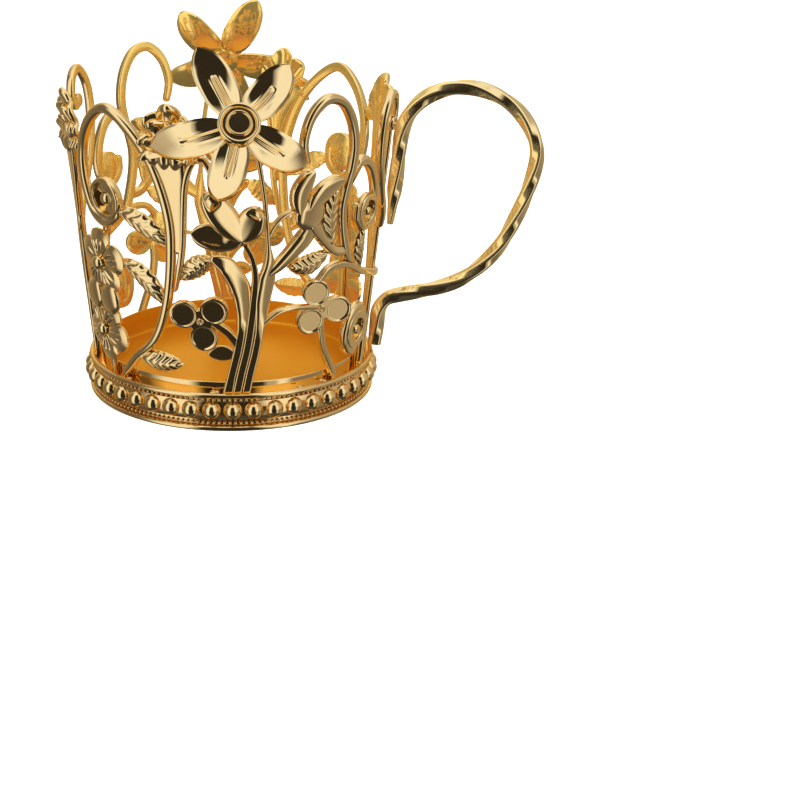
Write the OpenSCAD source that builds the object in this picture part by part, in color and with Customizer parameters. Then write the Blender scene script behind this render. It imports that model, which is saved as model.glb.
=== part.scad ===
// Tea glass holder: a pierced wall of brazed scrolls, stems, leaves and flowers in two equal halves,
// standing on a pan with a pearl band, with a twisted bar for a handle.
// The origin is on the table under the centre of the base, the handle points along +X and the front is -Y.

/* [Glass and base] */
// Diameter of the tea glass that the holder takes
glass_d = 63; // [60:0.5:68]
// Room left round the glass, on the radius
glass_clearance = 0.5; // [0.3:0.1:1]
// Thickness of the spun pan
pan_t = 1; // [0.8:0.1:1.3]
// Height of the pan's underside above the table
pan_raise = 3.6; // [3:0.1:4.5]
// Height of the ledge that the wall stands on
base_h = 9; // [8.5:0.1:10.5]
// Width of that ledge, from the bore to the rolled edge
ledge_w = 2.6; // [2.5:0.1:3.2]
// How far the rolled edges stand proud of the sheet
edge_proud = 0.15; // [0.1:0.05:0.25]
// Thickness of the band behind the pearls
band_t = 0.85; // [0.7:0.05:1]
// Diameter of a pearl
pearl_d = 4.4; // [4:0.1:4.8]
// How deep a pearl is cut off at its back
pearl_sink = 2.1; // [1.8:0.1:2.4]
// Pearls round the base
pearl_count = 44; // [36:1:46]

/* [Wall] */
// Height of the wall, from the ledge to its highest arch
wall_h = 69; // [62:1:76]
// How much the wall's radius grows over that height
wall_flare = 6.9; // [5:0.1:9]
// Room for solder between two pieces
braze_gap = 0.15; // [0.1:0.05:0.25]

/* [Scrolls and stems] */
// Width of the large scrolls and arches, seen from the front
scroll_w = 2.4; // [2:0.1:2.6]
// Thickness of scrolls and arches, through the wall
scroll_d = 2; // [1.7:0.1:2.2]
// Width of the plant stems
stem_w = 1.8; // [1.5:0.1:2]
// Thickness of the plant stems
stem_d = 1.8; // [1.5:0.1:2.1]
// Width of the thinnest stems and twigs
twig_w = 1.1; // [0.9:0.1:1.3]
// Radius of the domed eye in the largest scroll
eye_r = 3.1; // [2.6:0.1:3.3]

/* [Leaves and flowers] */
// Width of a veined leaf
leaf_w = 5; // [4:0.1:5.4]
// Thickness of leaves and petals
leaf_d = 1.6; // [1.3:0.1:1.9]
// Radius of a side blossom
blossom_r = 6.6; // [5.8:0.1:6.9]
// Radius of one disc of a clover
disc_r = 3.2; // [2.9:0.1:3.3]
// Distance of a clover's discs from its middle
disc_reach = 4.1; // [4:0.1:4.3]
// Length of a petal of the big flower
petal_l = 16; // [14:0.5:18]
// Width of a petal of the big flower
petal_w = 8.5; // [7:0.5:9.5]
// Thickness of a petal of the big flower
petal_t = 0.9; // [0.7:0.1:1.2]
// How far the big flower faces upwards, in degrees
flower_tilt = 30; // [22:1:36]
// Diameter of the big flower's boss
boss_d = 9.3; // [8:0.1:10]
// How far a carnation's frill spreads
frill_r = 6; // [5:0.1:6.4]

/* [Handle] */
// Side of the square bar
bar_w = 2.8; // [2.4:0.1:3.2]
// Length of bar in one full twist
twist_pitch = 46; // [36:1:60]
// How far the loop reaches out from the wall
handle_reach = 34; // [28:0.5:40]
// Height of the loop, from its lower root to its top
handle_h = 52.6; // [46:0.2:56]
// Height of the lower root above the base
handle_rise = 12.6; // [11:0.2:15]

/* [Hidden] */
$fn = 48;
overrun = 1;

// Base, in the order in which the pieces lie from the bore outwards
bore_r = glass_d / 2 + glass_clearance;
pan_r = bore_r + pan_t;
ledge_r = bore_r + ledge_w;
edge_r = pan_t / 2 + edge_proud;
band_r = pan_r + braze_gap;
groove_r = band_r + band_t;
bead_back_r = groove_r + braze_gap;
bead_strip_t = 0.6;
bead_strip_h = 3.6;
band_top = base_h - pan_t - edge_proud - braze_gap;
pearl_rise = 0.4;
pearl_z = base_h / 2 + pearl_rise;
pearl_circle_r = bead_back_r + pearl_d / 2 - pearl_sink;

// The wall is a cone: a place on it is [degrees from the front, share of the wall's height]
foot_inset = 0.1;
foot_r = bore_r + foot_inset + scroll_d / 2;
wall_lean = atan(wall_flare / wall_h);
foot_plane = [[0, 0, base_h], [0, 0, 1]];

// Thinner ends and backs of small pieces
tip_w = 0.5;
leaf_edge_d = 1;
hook_w = 1.5;
cross_w = 2;
branch_w = 3;
flower_branch_w = 2.5;
blossom_stem_w = 2;
blossom_stem_d = 1.3;
blossom_stem_out = -0.3;
blossom_d = 1.7;
blossom_core_r = 2.3;
blossom_bead_r = 1.5;
bud_r = 2.1;
bud_rise_share = 0.8;
disc_t = 1.9;
disc_rim = 0.6;
disc_hollow = 0.4;
hub_r = 2.8;
hub_bead_r = 0.8;
clover_out = 0.3;
volute_w = 2.7;
small_eye_r = 2;
tiny_eye_r = 1.2;
eye_h = 1.5;
frill_d = 1.3;
frill_wave = 0.9;
frill_top = 3;
frill_inner_share = 0.12;
frill_lobes = 7;
side_neck_w = 3;
side_mouth_w = 7.5;
lotus_w = 5.2;
lotus_bead_r = 1.6;
plain_leaf_w = 3.8;
fern_w = 4.2;
tulip_stem_w = 3.4;
tulip_body_w = 7.8;
tulip_body_d = 3.6;
tulip_petal_w = 5;
tulip_leaf_w = 4;

// The big flower, along its own axis from a point in front of the wall
flower_out = 2.5;
flower_hub_r = 3.6;
flower_hub_back = 1.2;
flower_hub_front = 1.4;
flower_turn = 41;
flower_petals = 5;
petal_start = 1.5;
petal_lift = 1.1;
petal_lean = 10;
petal_dish_r = 16;
petal_sag = petal_dish_r - sqrt(petal_dish_r * petal_dish_r - petal_l * petal_l / 4);
rib_l_share = 0.6;
rib_shift_share = -0.08;
rib_w = 2.2;
rib_h = 0.45;
boss_h = 1.5;
boss_ring_t = 0.55;
boss_disc_r = 2.85;
boss_step = 0.6;

// The post behind the handle, and the bar that stands on it
post_w = 2.6;
post_d = 1.2;
post_out = -0.4;
bar_tip_share = 0.4;
bar_taper = 14;
bar_out = post_out + post_d / 2 + braze_gap + bar_w * sqrt(2) / 2;

// Cross-sections of a strip, across it and through it, as shares of its width and thickness
round_shares = [[-0.5, -0.5], [0.5, -0.5], [0.5, 0.1], [0.28, 0.5], [-0.28, 0.5], [-0.5, 0.1]];
ridge_shares = [[-0.5, -0.5], [0.5, -0.5], [0.5, -0.1], [0, 0.5], [-0.5, -0.1]];
dish_shares = [[0, -0.5], [0.5, 0.1], [0.42, 0.5], [0, 0.1], [-0.42, 0.5], [-0.5, 0.1]];
lens_steps = 8;
lens_power = 0.8;

function unit(v) = v / norm(v);
function wall_r(h) = foot_r + wall_flare * h;
function wall_pt(p, out = 0) =
    let (r = wall_r(p[1]) + out) [r * sin(p[0]), -r * cos(p[0]), base_h + wall_h * p[1]];
function wall_normal(p) = unit([sin(p[0]), -cos(p[0]), -tan(wall_lean)]);

// A place moved along the wall by a distance to the right and a distance up
function shift(p, right, up) =
    let (h = p[1] + up / wall_h) [p[0] + right / wall_r(h) * 180 / PI, h];
function polar(p, r, angle) = shift(p, r * cos(angle), r * sin(angle));

// A smooth line through places, and the angle of a rising line at a height
function blend(p, q, r, s, t) =
    ((q * 2) + (r - p) * t + (p * 2 - q * 5 + r * 4 - s) * t * t + (q * 3 - p - r * 3 + s) * t * t * t) / 2;
function curve(places, steps = 3) =
    let (last = len(places) - 1)
    concat(
        [for (i = [0:last - 1], k = [0:steps - 1])
            blend(places[max(i - 1, 0)], places[i], places[i + 1], places[min(i + 2, last)], k / steps)],
        [places[last]]
    );
function angle_at(line, h) = lookup(h, [for (p = line) [p[1], p[0]]]);
function part_of(line, from, to) = [for (i = [from:to]) line[i]];

// Widths along a pointed leaf or petal
function lens(w, end_w = tip_w) =
    [for (i = [0:lens_steps]) [i / lens_steps, max(end_w, w * pow(sin(180 * i / lens_steps), lens_power))]];
function even(v) = [[0, v], [1, v]];
function taper(a, b) = [[0, a], [1, b]];

// Planes that end a strip at the solder gap: along one side of a carrier, past a line's end, and round a spot
function butt(carrier, half, end, from) =
    let (
        away = [for (p = carrier) norm(wall_pt(p) - wall_pt(end))],
        i = min(max(search(min(away), away)[0], 1), len(carrier) - 2),
        along = unit(wall_pt(carrier[i + 1]) - wall_pt(carrier[i - 1])),
        across = unit(cross(wall_normal(carrier[i]), along)),
        face = across * sign((wall_pt(from) - wall_pt(carrier[i])) * across)
    )
    [wall_pt(carrier[i]) + face * (half + braze_gap), face];
function past(line) =
    let (n = len(line) - 1, along = unit(wall_pt(line[n]) - wall_pt(line[n - 1])))
    [wall_pt(line[n]) + along * braze_gap, along];
function short_of(spot, r, from) =
    let (along = unit(wall_pt(from) - wall_pt(spot))) [wall_pt(spot) + along * (r + braze_gap), along];
function clear_of(ring, plane) =
    is_undef(plane) || min([for (p = ring) (p - plane[0]) * plane[1]]) > 0;
function slide(ring, dir, plane) =
    [for (p = ring) p - dir * ((p - plane[0]) * plane[1]) / (dir * plane[1])];

// Rings of a strip that follows a line on the wall, cut off square to the planes at its ends
function strip_rings(line, widths, depths, shape, out, start, end) =
    let (
        n = len(line),
        at = [for (p = line) wall_pt(p, out)],
        along = [for (i = [0:n - 1]) unit(at[min(i + 1, n - 1)] - at[max(i - 1, 0)])],
        across = [for (i = [0:n - 1]) unit(cross(wall_normal(line[i]), along[i]))],
        ring = [for (i = [0:n - 1])
            let (w = lookup(i / (n - 1), widths), d = lookup(i / (n - 1), depths))
            [for (q = shape) at[i] + across[i] * (q[0] * w) + cross(along[i], across[i]) * (q[1] * d)]],
        kept = [for (i = [0:n - 1])
            if ((i > n / 2 || clear_of(ring[i], start)) && (i <= n / 2 || clear_of(ring[i], end))) i],
        first = kept[0],
        last = kept[len(kept) - 1],
        from = first > 0 ? unit(at[0] - at[first]) : -along[0],
        to = last < n - 1 ? unit(at[n - 1] - at[last]) : along[n - 1]
    )
    concat(
        is_undef(start) ? [] : [slide(ring[first], from, start)],
        [for (i = kept) ring[i]],
        is_undef(end) ? [] : [slide(ring[last], to, end)]
    );

// A closed skin over rings of equal length
module skin(rings) {
    n = len(rings[0]);
    top = (len(rings) - 1) * n;
    polyhedron(
        [for (r = rings) each r],
        concat(
            [for (k = [0:len(rings) - 2], i = [0:n - 1])
                let (a = k * n + i, b = k * n + (i + 1) % n) each [[a, a + n, b + n], [a, b + n, b]]],
            [for (i = [1:n - 2]) each [[0, i, i + 1], [top, top + i + 1, top + i]]]
        )
    );
}

module strip(line, widths, depths, shape = round_shares, out = 0, start = undef, end = undef) {
    skin(strip_rings(line, widths, depths, shape, out, start, end));
}

module on_wall(p, out = 0) {
    translate(wall_pt(p, out)) rotate([0, 0, p[0]]) rotate([90 + wall_lean, 0, 0]) children();
}

// A domed eye that ends a scroll
module eye(p, r) {
    on_wall(p) translate([0, 0, -scroll_d / 2]) rotate_extrude() intersection() {
        translate([0, scroll_d + eye_h - dome_r(r)]) circle(r = dome_r(r));
        square([r, scroll_d + eye_h]);
    }
}
function dome_r(r) = (r * r + eye_h * eye_h) / (2 * eye_h);

// Places of the pattern: [degrees from the front, share of the wall's height]
large_scroll_shares = [[-50, 0], [-41.5, 0.087], [-31, 0.174], [-25, 0.304], [-22, 0.478], [-22.2, 0.623], [-27, 0.783],
    [-35, 0.891], [-44.4, 0.942], [-53.6, 0.888], [-60.4, 0.79], [-62, 0.688], [-58.5, 0.588], [-51, 0.551],
    [-44, 0.583], [-43, 0.64]];
large_eye_shares = [-49.5, 0.645];
tall_arch_shares = [[25.5, 0.8], [24.2, 0.86], [26, 0.935], [30, 0.983], [34, 0.994], [39, 0.971], [43.5, 0.906],
    [45.7, 0.826], [45.3, 0.754], [43.4, 0.688], [42.3, 0.616], [43.7, 0.536], [47, 0.449], [49.8, 0.4]];
small_scroll_shares = [[44.2, 0.703], [46.4, 0.742], [51, 0.768], [56.5, 0.739], [61, 0.674], [63.2, 0.601],
    [60.8, 0.545], [55.6, 0.529], [51, 0.562], [50.3, 0.61]];
small_eye_shares = [56.6, 0.598];
low_volute_shares = [[68.5, 0], [69, 0.087], [66.4, 0.174], [60, 0.232], [53.5, 0.203], [51.4, 0.138], [54.2, 0.085],
    [58.8, 0.078]];
low_eye_shares = [58.6, 0.148];
seam_post_shares = [[90, 0], [90, 0.45], [90, 0.88]];
seam_arch_shares = [[89, 0.464], [81, 0.53], [73, 0.594], [66.7, 0.696], [63.6, 0.812], [64.5, 0.906], [69.4, 0.961],
    [75, 0.935], [77.5, 0.877], [75.4, 0.838], [72.6, 0.855]];
hook_shares = [[-20.7, 0.36], [-19.3, 0.42], [-18.2, 0.47], [-17.2, 0.536], [-16.4, 0.638], [-15.3, 0.732],
    [-12.7, 0.797], [-9.3, 0.812], [-6.8, 0.775]];
trunk_shares = [[1.8, 0], [3.4, 0.072], [5.6, 0.159], [7, 0.246]];
leaf_stem_shares = [[4.2, 0.32], [2.8, 0.385], [-1.5, 0.452], [-6.5, 0.478]];
lotus_stem_shares = [[7.9, 0.33], [8.4, 0.413], [7.2, 0.48], [4.6, 0.53]];
flower_stem_shares = [[11.2, 0.33], [12.6, 0.406], [13.3, 0.464], [12.6, 0.536], [11.7, 0.638], [10.2, 0.739],
    [8.2, 0.833], [5.6, 0.9], [3.6, 0.93]];
tulip_shares = [[13.2, 0.425], [16.5, 0.455], [21.8, 0.507], [26.6, 0.557], [28.2, 0.6], [27.4, 0.645], [25.8, 0.69]];
tulip_twig_shares = [[12.6, 0.545], [14.1, 0.582], [17.5, 0.618], [22, 0.648]];
tulip_petal_shares = [[[21.5, 0.63], [21.8, 0.705], [27.5, 0.768]], [[27, 0.65], [33, 0.68], [39.6, 0.73]]];
tulip_leaf_shares = [[34.5, 0.53], [36, 0.61], [37.6, 0.69]];
cross_stem_shares = [[30, 0.585], [34, 0.53], [39.5, 0.478], [44.5, 0.466]];
sweep_stem_shares = [[34.6, 0.385], [37.8, 0.412], [43, 0.42], [49.2, 0.406], [56.7, 0.372], [67.8, 0.338], [79, 0.31],
    [89.5, 0.29]];
blossom_stem_shares = [[-59, 0], [-56.9, 0.16], [-54, 0.41], [-50.7, 0.551]];
side_stem_shares = [[-84, 0], [-84, 0.101], [-83, 0.246], [-79.5, 0.391], [-74.5, 0.52]];
side_trumpet_shares = [[-75, 0.48], [-73.4, 0.64], [-72.5, 0.86]];
side_frill_shares = [-72.5, 0.83];
mid_frill_shares = [-19.6, 0.866];
blossom_upper_shares = [-54, 0.41];
blossom_lower_shares = [-56.8, 0.165];
bud_shares = [[-60.2, 0.284], [-50, 0.284]];
clover_left_shares = [-11.5, 0.262];
clover_right_shares = [35.3, 0.282];
clover_left_stem_shares = [[-9.5, 0.262], [-6, 0.25], [-1.5, 0.22], [2.2, 0.176]];
clover_right_branch_shares = [[10.5, 0.236], [13.7, 0.266], [18.4, 0.29]];
clover_right_end_shares = [1.6, 0.3];
clover_right_foot_shares = [[36, 0.268], [36.2, 0.2], [38.3, 0.13], [42.6, 0.06], [46.5, 0]];
lotus_shares = [3.6, 0.545];
lotus_tip_shares = [[-9.2, 0.703], [9.2, 0.655], [-13.6, 0.565]];
flower_shares = [2.3, 0.929];
leaf_upper_shares = [[-42.6, 0.612], [-32.8, 0.575], [-21.8, 0.519]];
leaf_low_shares = [[-39.7, 0.103], [-29.5, 0.09], [-19.6, 0.094]];
leaf_pair_shares = [[-6.5, 0.48], [-12.5, 0.448], [-18.5, 0.4]];
leaf_right_shares = [[37, 0.478], [29, 0.44], [20.5, 0.442]];
leaf_fern_shares = [[55.6, 0.376], [55, 0.45], [55.5, 0.53]];
plain_leaf_shares = [[1.5, 0.138], [-4, 0.145], [-9, 0.14]];

// The base of this leaf clears the right petal of the upper blossom by the solder gap
blossom_upper_turn = 15;
blossom_lower_turn = 55;
leaf_middle_shares = [polar(blossom_upper_shares, blossom_r + braze_gap, blossom_upper_turn), [-33.5, 0.385], [-25, 0.305]];

// Lines that carry other pieces. Three strands lie side by side in the trunk and part above it.
strand_slant_share = 1.06;
strand_pitch = (stem_w + braze_gap) * strand_slant_share;
function strand(k) = [for (p = trunk_shares) shift(p, k * strand_pitch, 0)];
large_scroll = curve(large_scroll_shares);
tall_arch = curve(tall_arch_shares);
small_scroll = curve(small_scroll_shares);
low_volute = curve(low_volute_shares);
seam_post = curve(seam_post_shares, 2);
seam_arch = curve(seam_arch_shares);
hook = curve(hook_shares);
leaf_stem = curve(concat(strand(-1), leaf_stem_shares));
lotus_stem = curve(concat(strand(0), lotus_stem_shares), 2);
flower_stem = curve(concat(strand(1), flower_stem_shares), 2);
cross_stem = curve(cross_stem_shares);
sweep_stem = curve(sweep_stem_shares);
blossom_stem = curve(blossom_stem_shares);
function last(line) = line[len(line) - 1];

module base_pan() {
    color("#C98A2E") rotate_extrude() {
        polygon([[0, pan_raise], [pan_r, pan_raise], [pan_r, base_h - pan_t], [ledge_r, base_h - pan_t],
            [ledge_r, base_h], [bore_r, base_h], [bore_r, pan_raise + pan_t], [0, pan_raise + pan_t]]);
        translate([ledge_r, base_h - pan_t / 2]) circle(r = edge_r);
    }
}

module base_band() {
    color("#B98F4A") rotate_extrude() difference() {
        union() {
            polygon([[band_r, 0], [ledge_r, 0], [ledge_r, edge_r], [groove_r, edge_r], [groove_r, band_top],
                [band_r, band_top]]);
            translate([ledge_r, edge_r - edge_proud]) circle(r = edge_r);
        }
        translate([0, -edge_r]) square([ledge_r + edge_r + overrun, edge_r]);
    }
}

module bead_wire() {
    color("#E3C27A") difference() {
        union() {
            translate([0, 0, pearl_z - bead_strip_h / 2]) cylinder(r = bead_back_r + bead_strip_t, h = bead_strip_h);
            for (i = [0:pearl_count - 1])
                rotate([0, 0, i * 360 / pearl_count]) translate([pearl_circle_r, 0, pearl_z]) sphere(d = pearl_d);
        }
        translate([0, 0, -overrun]) cylinder(r = bead_back_r, h = base_h + overrun);
    }
}

module scroll_large() {
    color("#D2A95C") {
        strip(large_scroll, [[0, stem_w], [0.3, scroll_w], [1, scroll_w]], even(scroll_d), start = foot_plane);
        eye(large_eye_shares, eye_r);
        strip([last(large_scroll), large_eye_shares], even(stem_w), even(scroll_d));
    }
}

module scroll_small() {
    color("#D2A95C") {
        strip(small_scroll, even(volute_w), even(scroll_d),
            start = butt(tall_arch, scroll_w / 2, small_scroll[0], small_scroll[6]));
        eye(small_eye_shares, small_eye_r);
        strip([last(small_scroll), small_eye_shares], even(stem_w), even(scroll_d));
    }
}

module volute_low() {
    color("#D2A95C") {
        strip(low_volute, even(volute_w), even(scroll_d), start = foot_plane);
        eye(low_eye_shares, small_eye_r);
        strip([last(low_volute), low_eye_shares], even(stem_w), even(scroll_d));
    }
}

module arch_tall() {
    color("#D2A95C") strip(tall_arch, [[0, stem_w], [0.2, scroll_w], [1, scroll_w]], even(scroll_d),
        end = butt(sweep_stem, stem_w / 2, last(tall_arch), tall_arch[30]));
}

module arch_seam() {
    color("#C79C50") {
        strip(seam_post, even(post_w), even(post_d), out = post_out, start = foot_plane);
        strip(seam_arch, taper(scroll_w, stem_w), even(scroll_d));
        eye(last(seam_arch), tiny_eye_r);
    }
}

module leaf(places, w, start = undef, end = undef) {
    line = curve(places, 4);
    strip(line, lens(w), [[0, leaf_edge_d], [0.3, leaf_d], [0.7, leaf_d], [1, leaf_edge_d]], ridge_shares,
        start = start, end = end);
}

module leaf_upper() {
    color("#E0C07C") leaf(leaf_upper_shares, leaf_w,
        butt(large_scroll, scroll_w / 2, leaf_upper_shares[0], leaf_upper_shares[1]),
        butt(large_scroll, scroll_w / 2, leaf_upper_shares[2], leaf_upper_shares[1]));
}

module leaf_middle() {
    color("#E0C07C") leaf(leaf_middle_shares, leaf_w,
        end = butt(large_scroll, scroll_w / 2, leaf_middle_shares[2], leaf_middle_shares[1]));
}

module leaf_low() {
    color("#E0C07C") leaf(leaf_low_shares, leaf_w,
        butt(large_scroll, scroll_w / 2, leaf_low_shares[0], leaf_low_shares[1]));
}

module leaf_pair() {
    color("#E0C07C") leaf(leaf_pair_shares, leaf_w, past(leaf_stem),
        butt(hook, hook_w / 2, leaf_pair_shares[2], leaf_pair_shares[1]));
}

module leaf_right() {
    color("#E0C07C") leaf(leaf_right_shares, leaf_w,
        butt(cross_stem, cross_w / 2, leaf_right_shares[0], leaf_right_shares[1]));
}

module leaf_fern() {
    color("#E0C07C") leaf(leaf_fern_shares, fern_w,
        butt(sweep_stem, stem_w / 2 + braze_gap, leaf_fern_shares[0], leaf_fern_shares[1]),
        butt(small_scroll, volute_w / 2, leaf_fern_shares[2], leaf_fern_shares[1]));
}

module stem_leaf() {
    color("#B8894A") {
        strip(leaf_stem, [[0, stem_w], [0.5, stem_w], [0.72, branch_w], [0.9, branch_w], [1, stem_w]], even(stem_d),
            start = foot_plane);
        strip(curve(plain_leaf_shares, 4), lens(plain_leaf_w), even(leaf_d), dish_shares);
    }
}

module stem_lotus() {
    color("#B8894A") strip(lotus_stem, [[0, stem_w], [0.6, stem_w], [1, twig_w]], even(stem_d), start = foot_plane,
        end = short_of(lotus_shares, lotus_bead_r, lotus_stem[len(lotus_stem) - 4]));
}

module stem_flower() {
    color("#B8894A") strip(flower_stem, [[0, stem_w], [0.3, stem_w], [0.42, flower_branch_w], [0.5, flower_branch_w],
        [0.6, twig_w], [1, twig_w]], even(stem_d), start = foot_plane, end = flower_back);
}

// The tulip's stem and its cup follow one line and meet on a plane across it
tulip_line = curve(tulip_shares);
tulip_joint = 9;
tulip_plane = let (along = unit(wall_pt(tulip_line[tulip_joint + 1]) - wall_pt(tulip_line[tulip_joint - 1])))
    [wall_pt(tulip_line[tulip_joint]), along];
module stem_tulip() {
    color("#B8894A") strip(part_of(tulip_line, 0, tulip_joint), even(tulip_stem_w), even(stem_d),
        start = butt(flower_stem, flower_branch_w / 2, tulip_line[0], tulip_line[4]),
        end = [tulip_plane[0] - tulip_plane[1] * braze_gap, -tulip_plane[1]]);
}

module stem_sweep() {
    disc = polar(clover_right_shares, disc_reach, clover_right_turn + 120);
    color("#B8894A") strip(sweep_stem, even(stem_w), even(stem_d), start = short_of(disc, disc_r + braze_gap, sweep_stem[2]),
        end = butt(seam_post, post_w / 2, last(sweep_stem), sweep_stem[12]));
}

module stem_blossom() {
    color("#B8894A") strip(blossom_stem, even(blossom_stem_w), even(blossom_stem_d), out = blossom_stem_out,
        start = foot_plane, end = butt(large_scroll, scroll_w / 2, last(blossom_stem), blossom_stem[4]));
}

blossom_back = blossom_stem_out + blossom_stem_d / 2 + braze_gap;
blossom_petals = 5;
blossom_length_shares = [0.2, 0.4, 0.6, 0.8, 0.95, 1];
blossom_width_shares = [[0, 0.35], [0.6, 0.72], [0.8, 0.66], [1, 0.3]];
module blossom(spot, turn) {
    for (k = [0:blossom_petals - 1]) {
        angle = turn + k * 360 / blossom_petals;
        strip([for (s = blossom_length_shares) polar(spot, blossom_r * s, angle)],
            [for (q = blossom_width_shares) [q[0], blossom_r * q[1]]], even(blossom_d), dish_shares,
            out = blossom_back + blossom_d / 2);
    }
    on_wall(spot, blossom_back) cylinder(r = blossom_core_r, h = blossom_d);
    on_wall(spot, blossom_back + blossom_d) sphere(r = blossom_bead_r);
}

module blossom_upper() {
    color("#A98A58") blossom(blossom_upper_shares, blossom_upper_turn);
}

module blossom_lower() {
    color("#A98A58") {
        blossom(blossom_lower_shares, blossom_lower_turn);
        for (spot = bud_shares) {
            on_wall(spot, blossom_back + bud_r * bud_rise_share) sphere(r = bud_r);
            strip([blossom_lower_shares, spot], even(twig_w), even(blossom_d), out = blossom_back + blossom_d / 2);
        }
    }
}

// A ruffled fan of petals at the mouth of a carnation
frill_steps = 28;
frill_from = 195;
frill_shares = [[1, -0.5, 1], [frill_inner_share, -0.5, 0], [frill_inner_share, 0.5, 0], [0.6, 0.7, 0.3], [1, 0.5, 1]];
module frill(spot, r) {
    skin([for (i = [0:frill_steps])
        let (
            angle = 180 - frill_from + i * (2 * frill_from - 180) / frill_steps,
            wave = cos(frill_lobes * 360 * i / frill_steps),
            reach = r + frill_top * pow(max(sin(angle), 0), 2) - frill_wave * (1 - wave) / 2
        )
        [for (q = frill_shares) wall_pt(polar(spot, reach * q[0], angle), frill_d * q[1] + frill_wave * wave * q[2] / 2)]]);
}

// The cup of this carnation fills the space between the scroll's right limb and the hook
cup_height_shares = [0.52, 0.58, 0.64, 0.69, 0.74, 0.8, 0.86];
hook_top_share = 0.74;
limb_slant_share = 1.5;
module carnation_mid() {
    limb = part_of(large_scroll, 0, 21);
    rise = part_of(hook, 0, 18);
    n = len(cup_height_shares) - 1;
    edges = [for (h = cup_height_shares)
        [shift([angle_at(limb, h), h], limb_slant_share * (scroll_w / 2 + braze_gap), 0)[0],
            angle_at(rise, min(h, hook_top_share))]];
    color("#DDBB72") {
        strip([for (i = [0:n]) [(edges[i][0] + edges[i][1]) / 2, cup_height_shares[i]]],
            [for (i = [0:n]) [i / n, (edges[i][1] - edges[i][0]) * wall_r(cup_height_shares[i]) * PI / 180]],
            even(stem_d), dish_shares);
        strip(hook, [[0, tip_w], [0.2, hook_w], [1, hook_w]], even(stem_d));
        frill(mid_frill_shares, frill_r);
    }
}

module carnation_side() {
    color("#A98A58") {
        strip(curve(side_stem_shares), even(stem_w), even(stem_d), start = foot_plane);
        strip(curve(side_trumpet_shares, 3), [[0, stem_w], [0.4, side_neck_w], [1, side_mouth_w]], even(stem_d), dish_shares);
        frill(side_frill_shares, frill_r);
    }
}

// A flat plate of three joined discs; it may be turned from the wall towards the front
module clover(hub, turn, yaw) {
    on_wall(hub, clover_out) rotate([0, yaw, 0]) translate([0, 0, -disc_t / 2]) {
        difference() {
            union() {
                for (k = [0:2]) rotate([0, 0, turn + 120 * k]) translate([disc_reach, 0, 0]) cylinder(r = disc_r, h = disc_t);
                cylinder(r = hub_r, h = disc_t);
            }
            for (k = [0:2]) rotate([0, 0, turn + 120 * k]) translate([disc_reach, 0, disc_t - disc_hollow])
                cylinder(r = disc_r - disc_rim, h = disc_hollow + overrun);
        }
        translate([0, 0, disc_t]) sphere(r = hub_bead_r);
    }
}

clover_left_turn = 40;
clover_left_yaw = 0;
clover_left_stem = curve(clover_left_stem_shares);
module clover_left() {
    color("#8F6A34") {
        clover(clover_left_shares, clover_left_turn, clover_left_yaw);
        strip(clover_left_stem, even(twig_w), even(stem_d),
            end = butt(leaf_stem, stem_w / 2, last(clover_left_stem), clover_left_stem[5]));
    }
}

clover_right_turn = -8;
clover_right_yaw = -20;
clover_right_branch = curve(concat(clover_right_branch_shares,
    [for (s = clover_right_end_shares) polar(clover_right_shares, disc_reach * s, clover_right_turn + 180)]));
module clover_right() {
    color("#8F6A34") {
        clover(clover_right_shares, clover_right_turn, clover_right_yaw);
        strip(clover_right_branch, even(twig_w), even(stem_d),
            start = butt(flower_stem, stem_w / 2, clover_right_branch[0], clover_right_branch[5]));
        strip(curve(clover_right_foot_shares), even(stem_w), even(stem_d), end = foot_plane);
    }
}

module lotus() {
    color("#E6CB8C") {
        for (tip = lotus_tip_shares)
            strip(curve([lotus_shares, (lotus_shares + tip) / 2, tip], 4), lens(lotus_w), even(leaf_d), dish_shares);
        on_wall(lotus_shares) sphere(r = lotus_bead_r);
    }
}

tulip_twig = curve(tulip_twig_shares);
module tulip() {
    color("#C9A25C") {
        strip(part_of(tulip_line, tulip_joint, len(tulip_line) - 1),
            [[0, tulip_stem_w], [0.35, tulip_body_w], [0.7, tulip_body_w], [1, tulip_stem_w]],
            [[0, stem_d], [0.4, tulip_body_d], [1, stem_d]], start = tulip_plane);
        for (places = tulip_petal_shares) strip(curve(places, 4), lens(tulip_petal_w), even(leaf_d), dish_shares);
        leaf(tulip_leaf_shares, tulip_leaf_w);
        strip(cross_stem, even(cross_w), even(stem_d),
            end = butt(tall_arch, scroll_w / 2, last(cross_stem), cross_stem[4]));
        strip(tulip_twig, even(twig_w), even(leaf_d),
            start = butt(flower_stem, twig_w / 2, tulip_twig[0], tulip_twig[4]));
    }
}

// The big flower stands in front of the wall and faces upwards
flower_axis = [sin(flower_shares[0]) * cos(flower_tilt), -cos(flower_shares[0]) * cos(flower_tilt), sin(flower_tilt)];
flower_back = [wall_pt(flower_shares, flower_out) - flower_axis * (flower_hub_back + braze_gap), -flower_axis];
module at_flower() {
    translate(wall_pt(flower_shares, flower_out)) rotate([0, 0, flower_shares[0]]) rotate([90 - flower_tilt, 0, 0]) children();
}

// A pointed oval, and a dished sheet of that outline
module pointed_oval(l, w) {
    r = (l * l + w * w) / (4 * w);
    intersection() {
        translate([0, r - w / 2]) circle(r = r);
        translate([0, w / 2 - r]) circle(r = r);
    }
}
module dished_oval(l, w, front, back) {
    intersection() {
        translate([0, 0, -l]) linear_extrude(2 * l) pointed_oval(l, w);
        translate([0, 0, petal_dish_r]) difference() {
            sphere(r = petal_dish_r + back);
            sphere(r = petal_dish_r - front);
        }
    }
}

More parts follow.
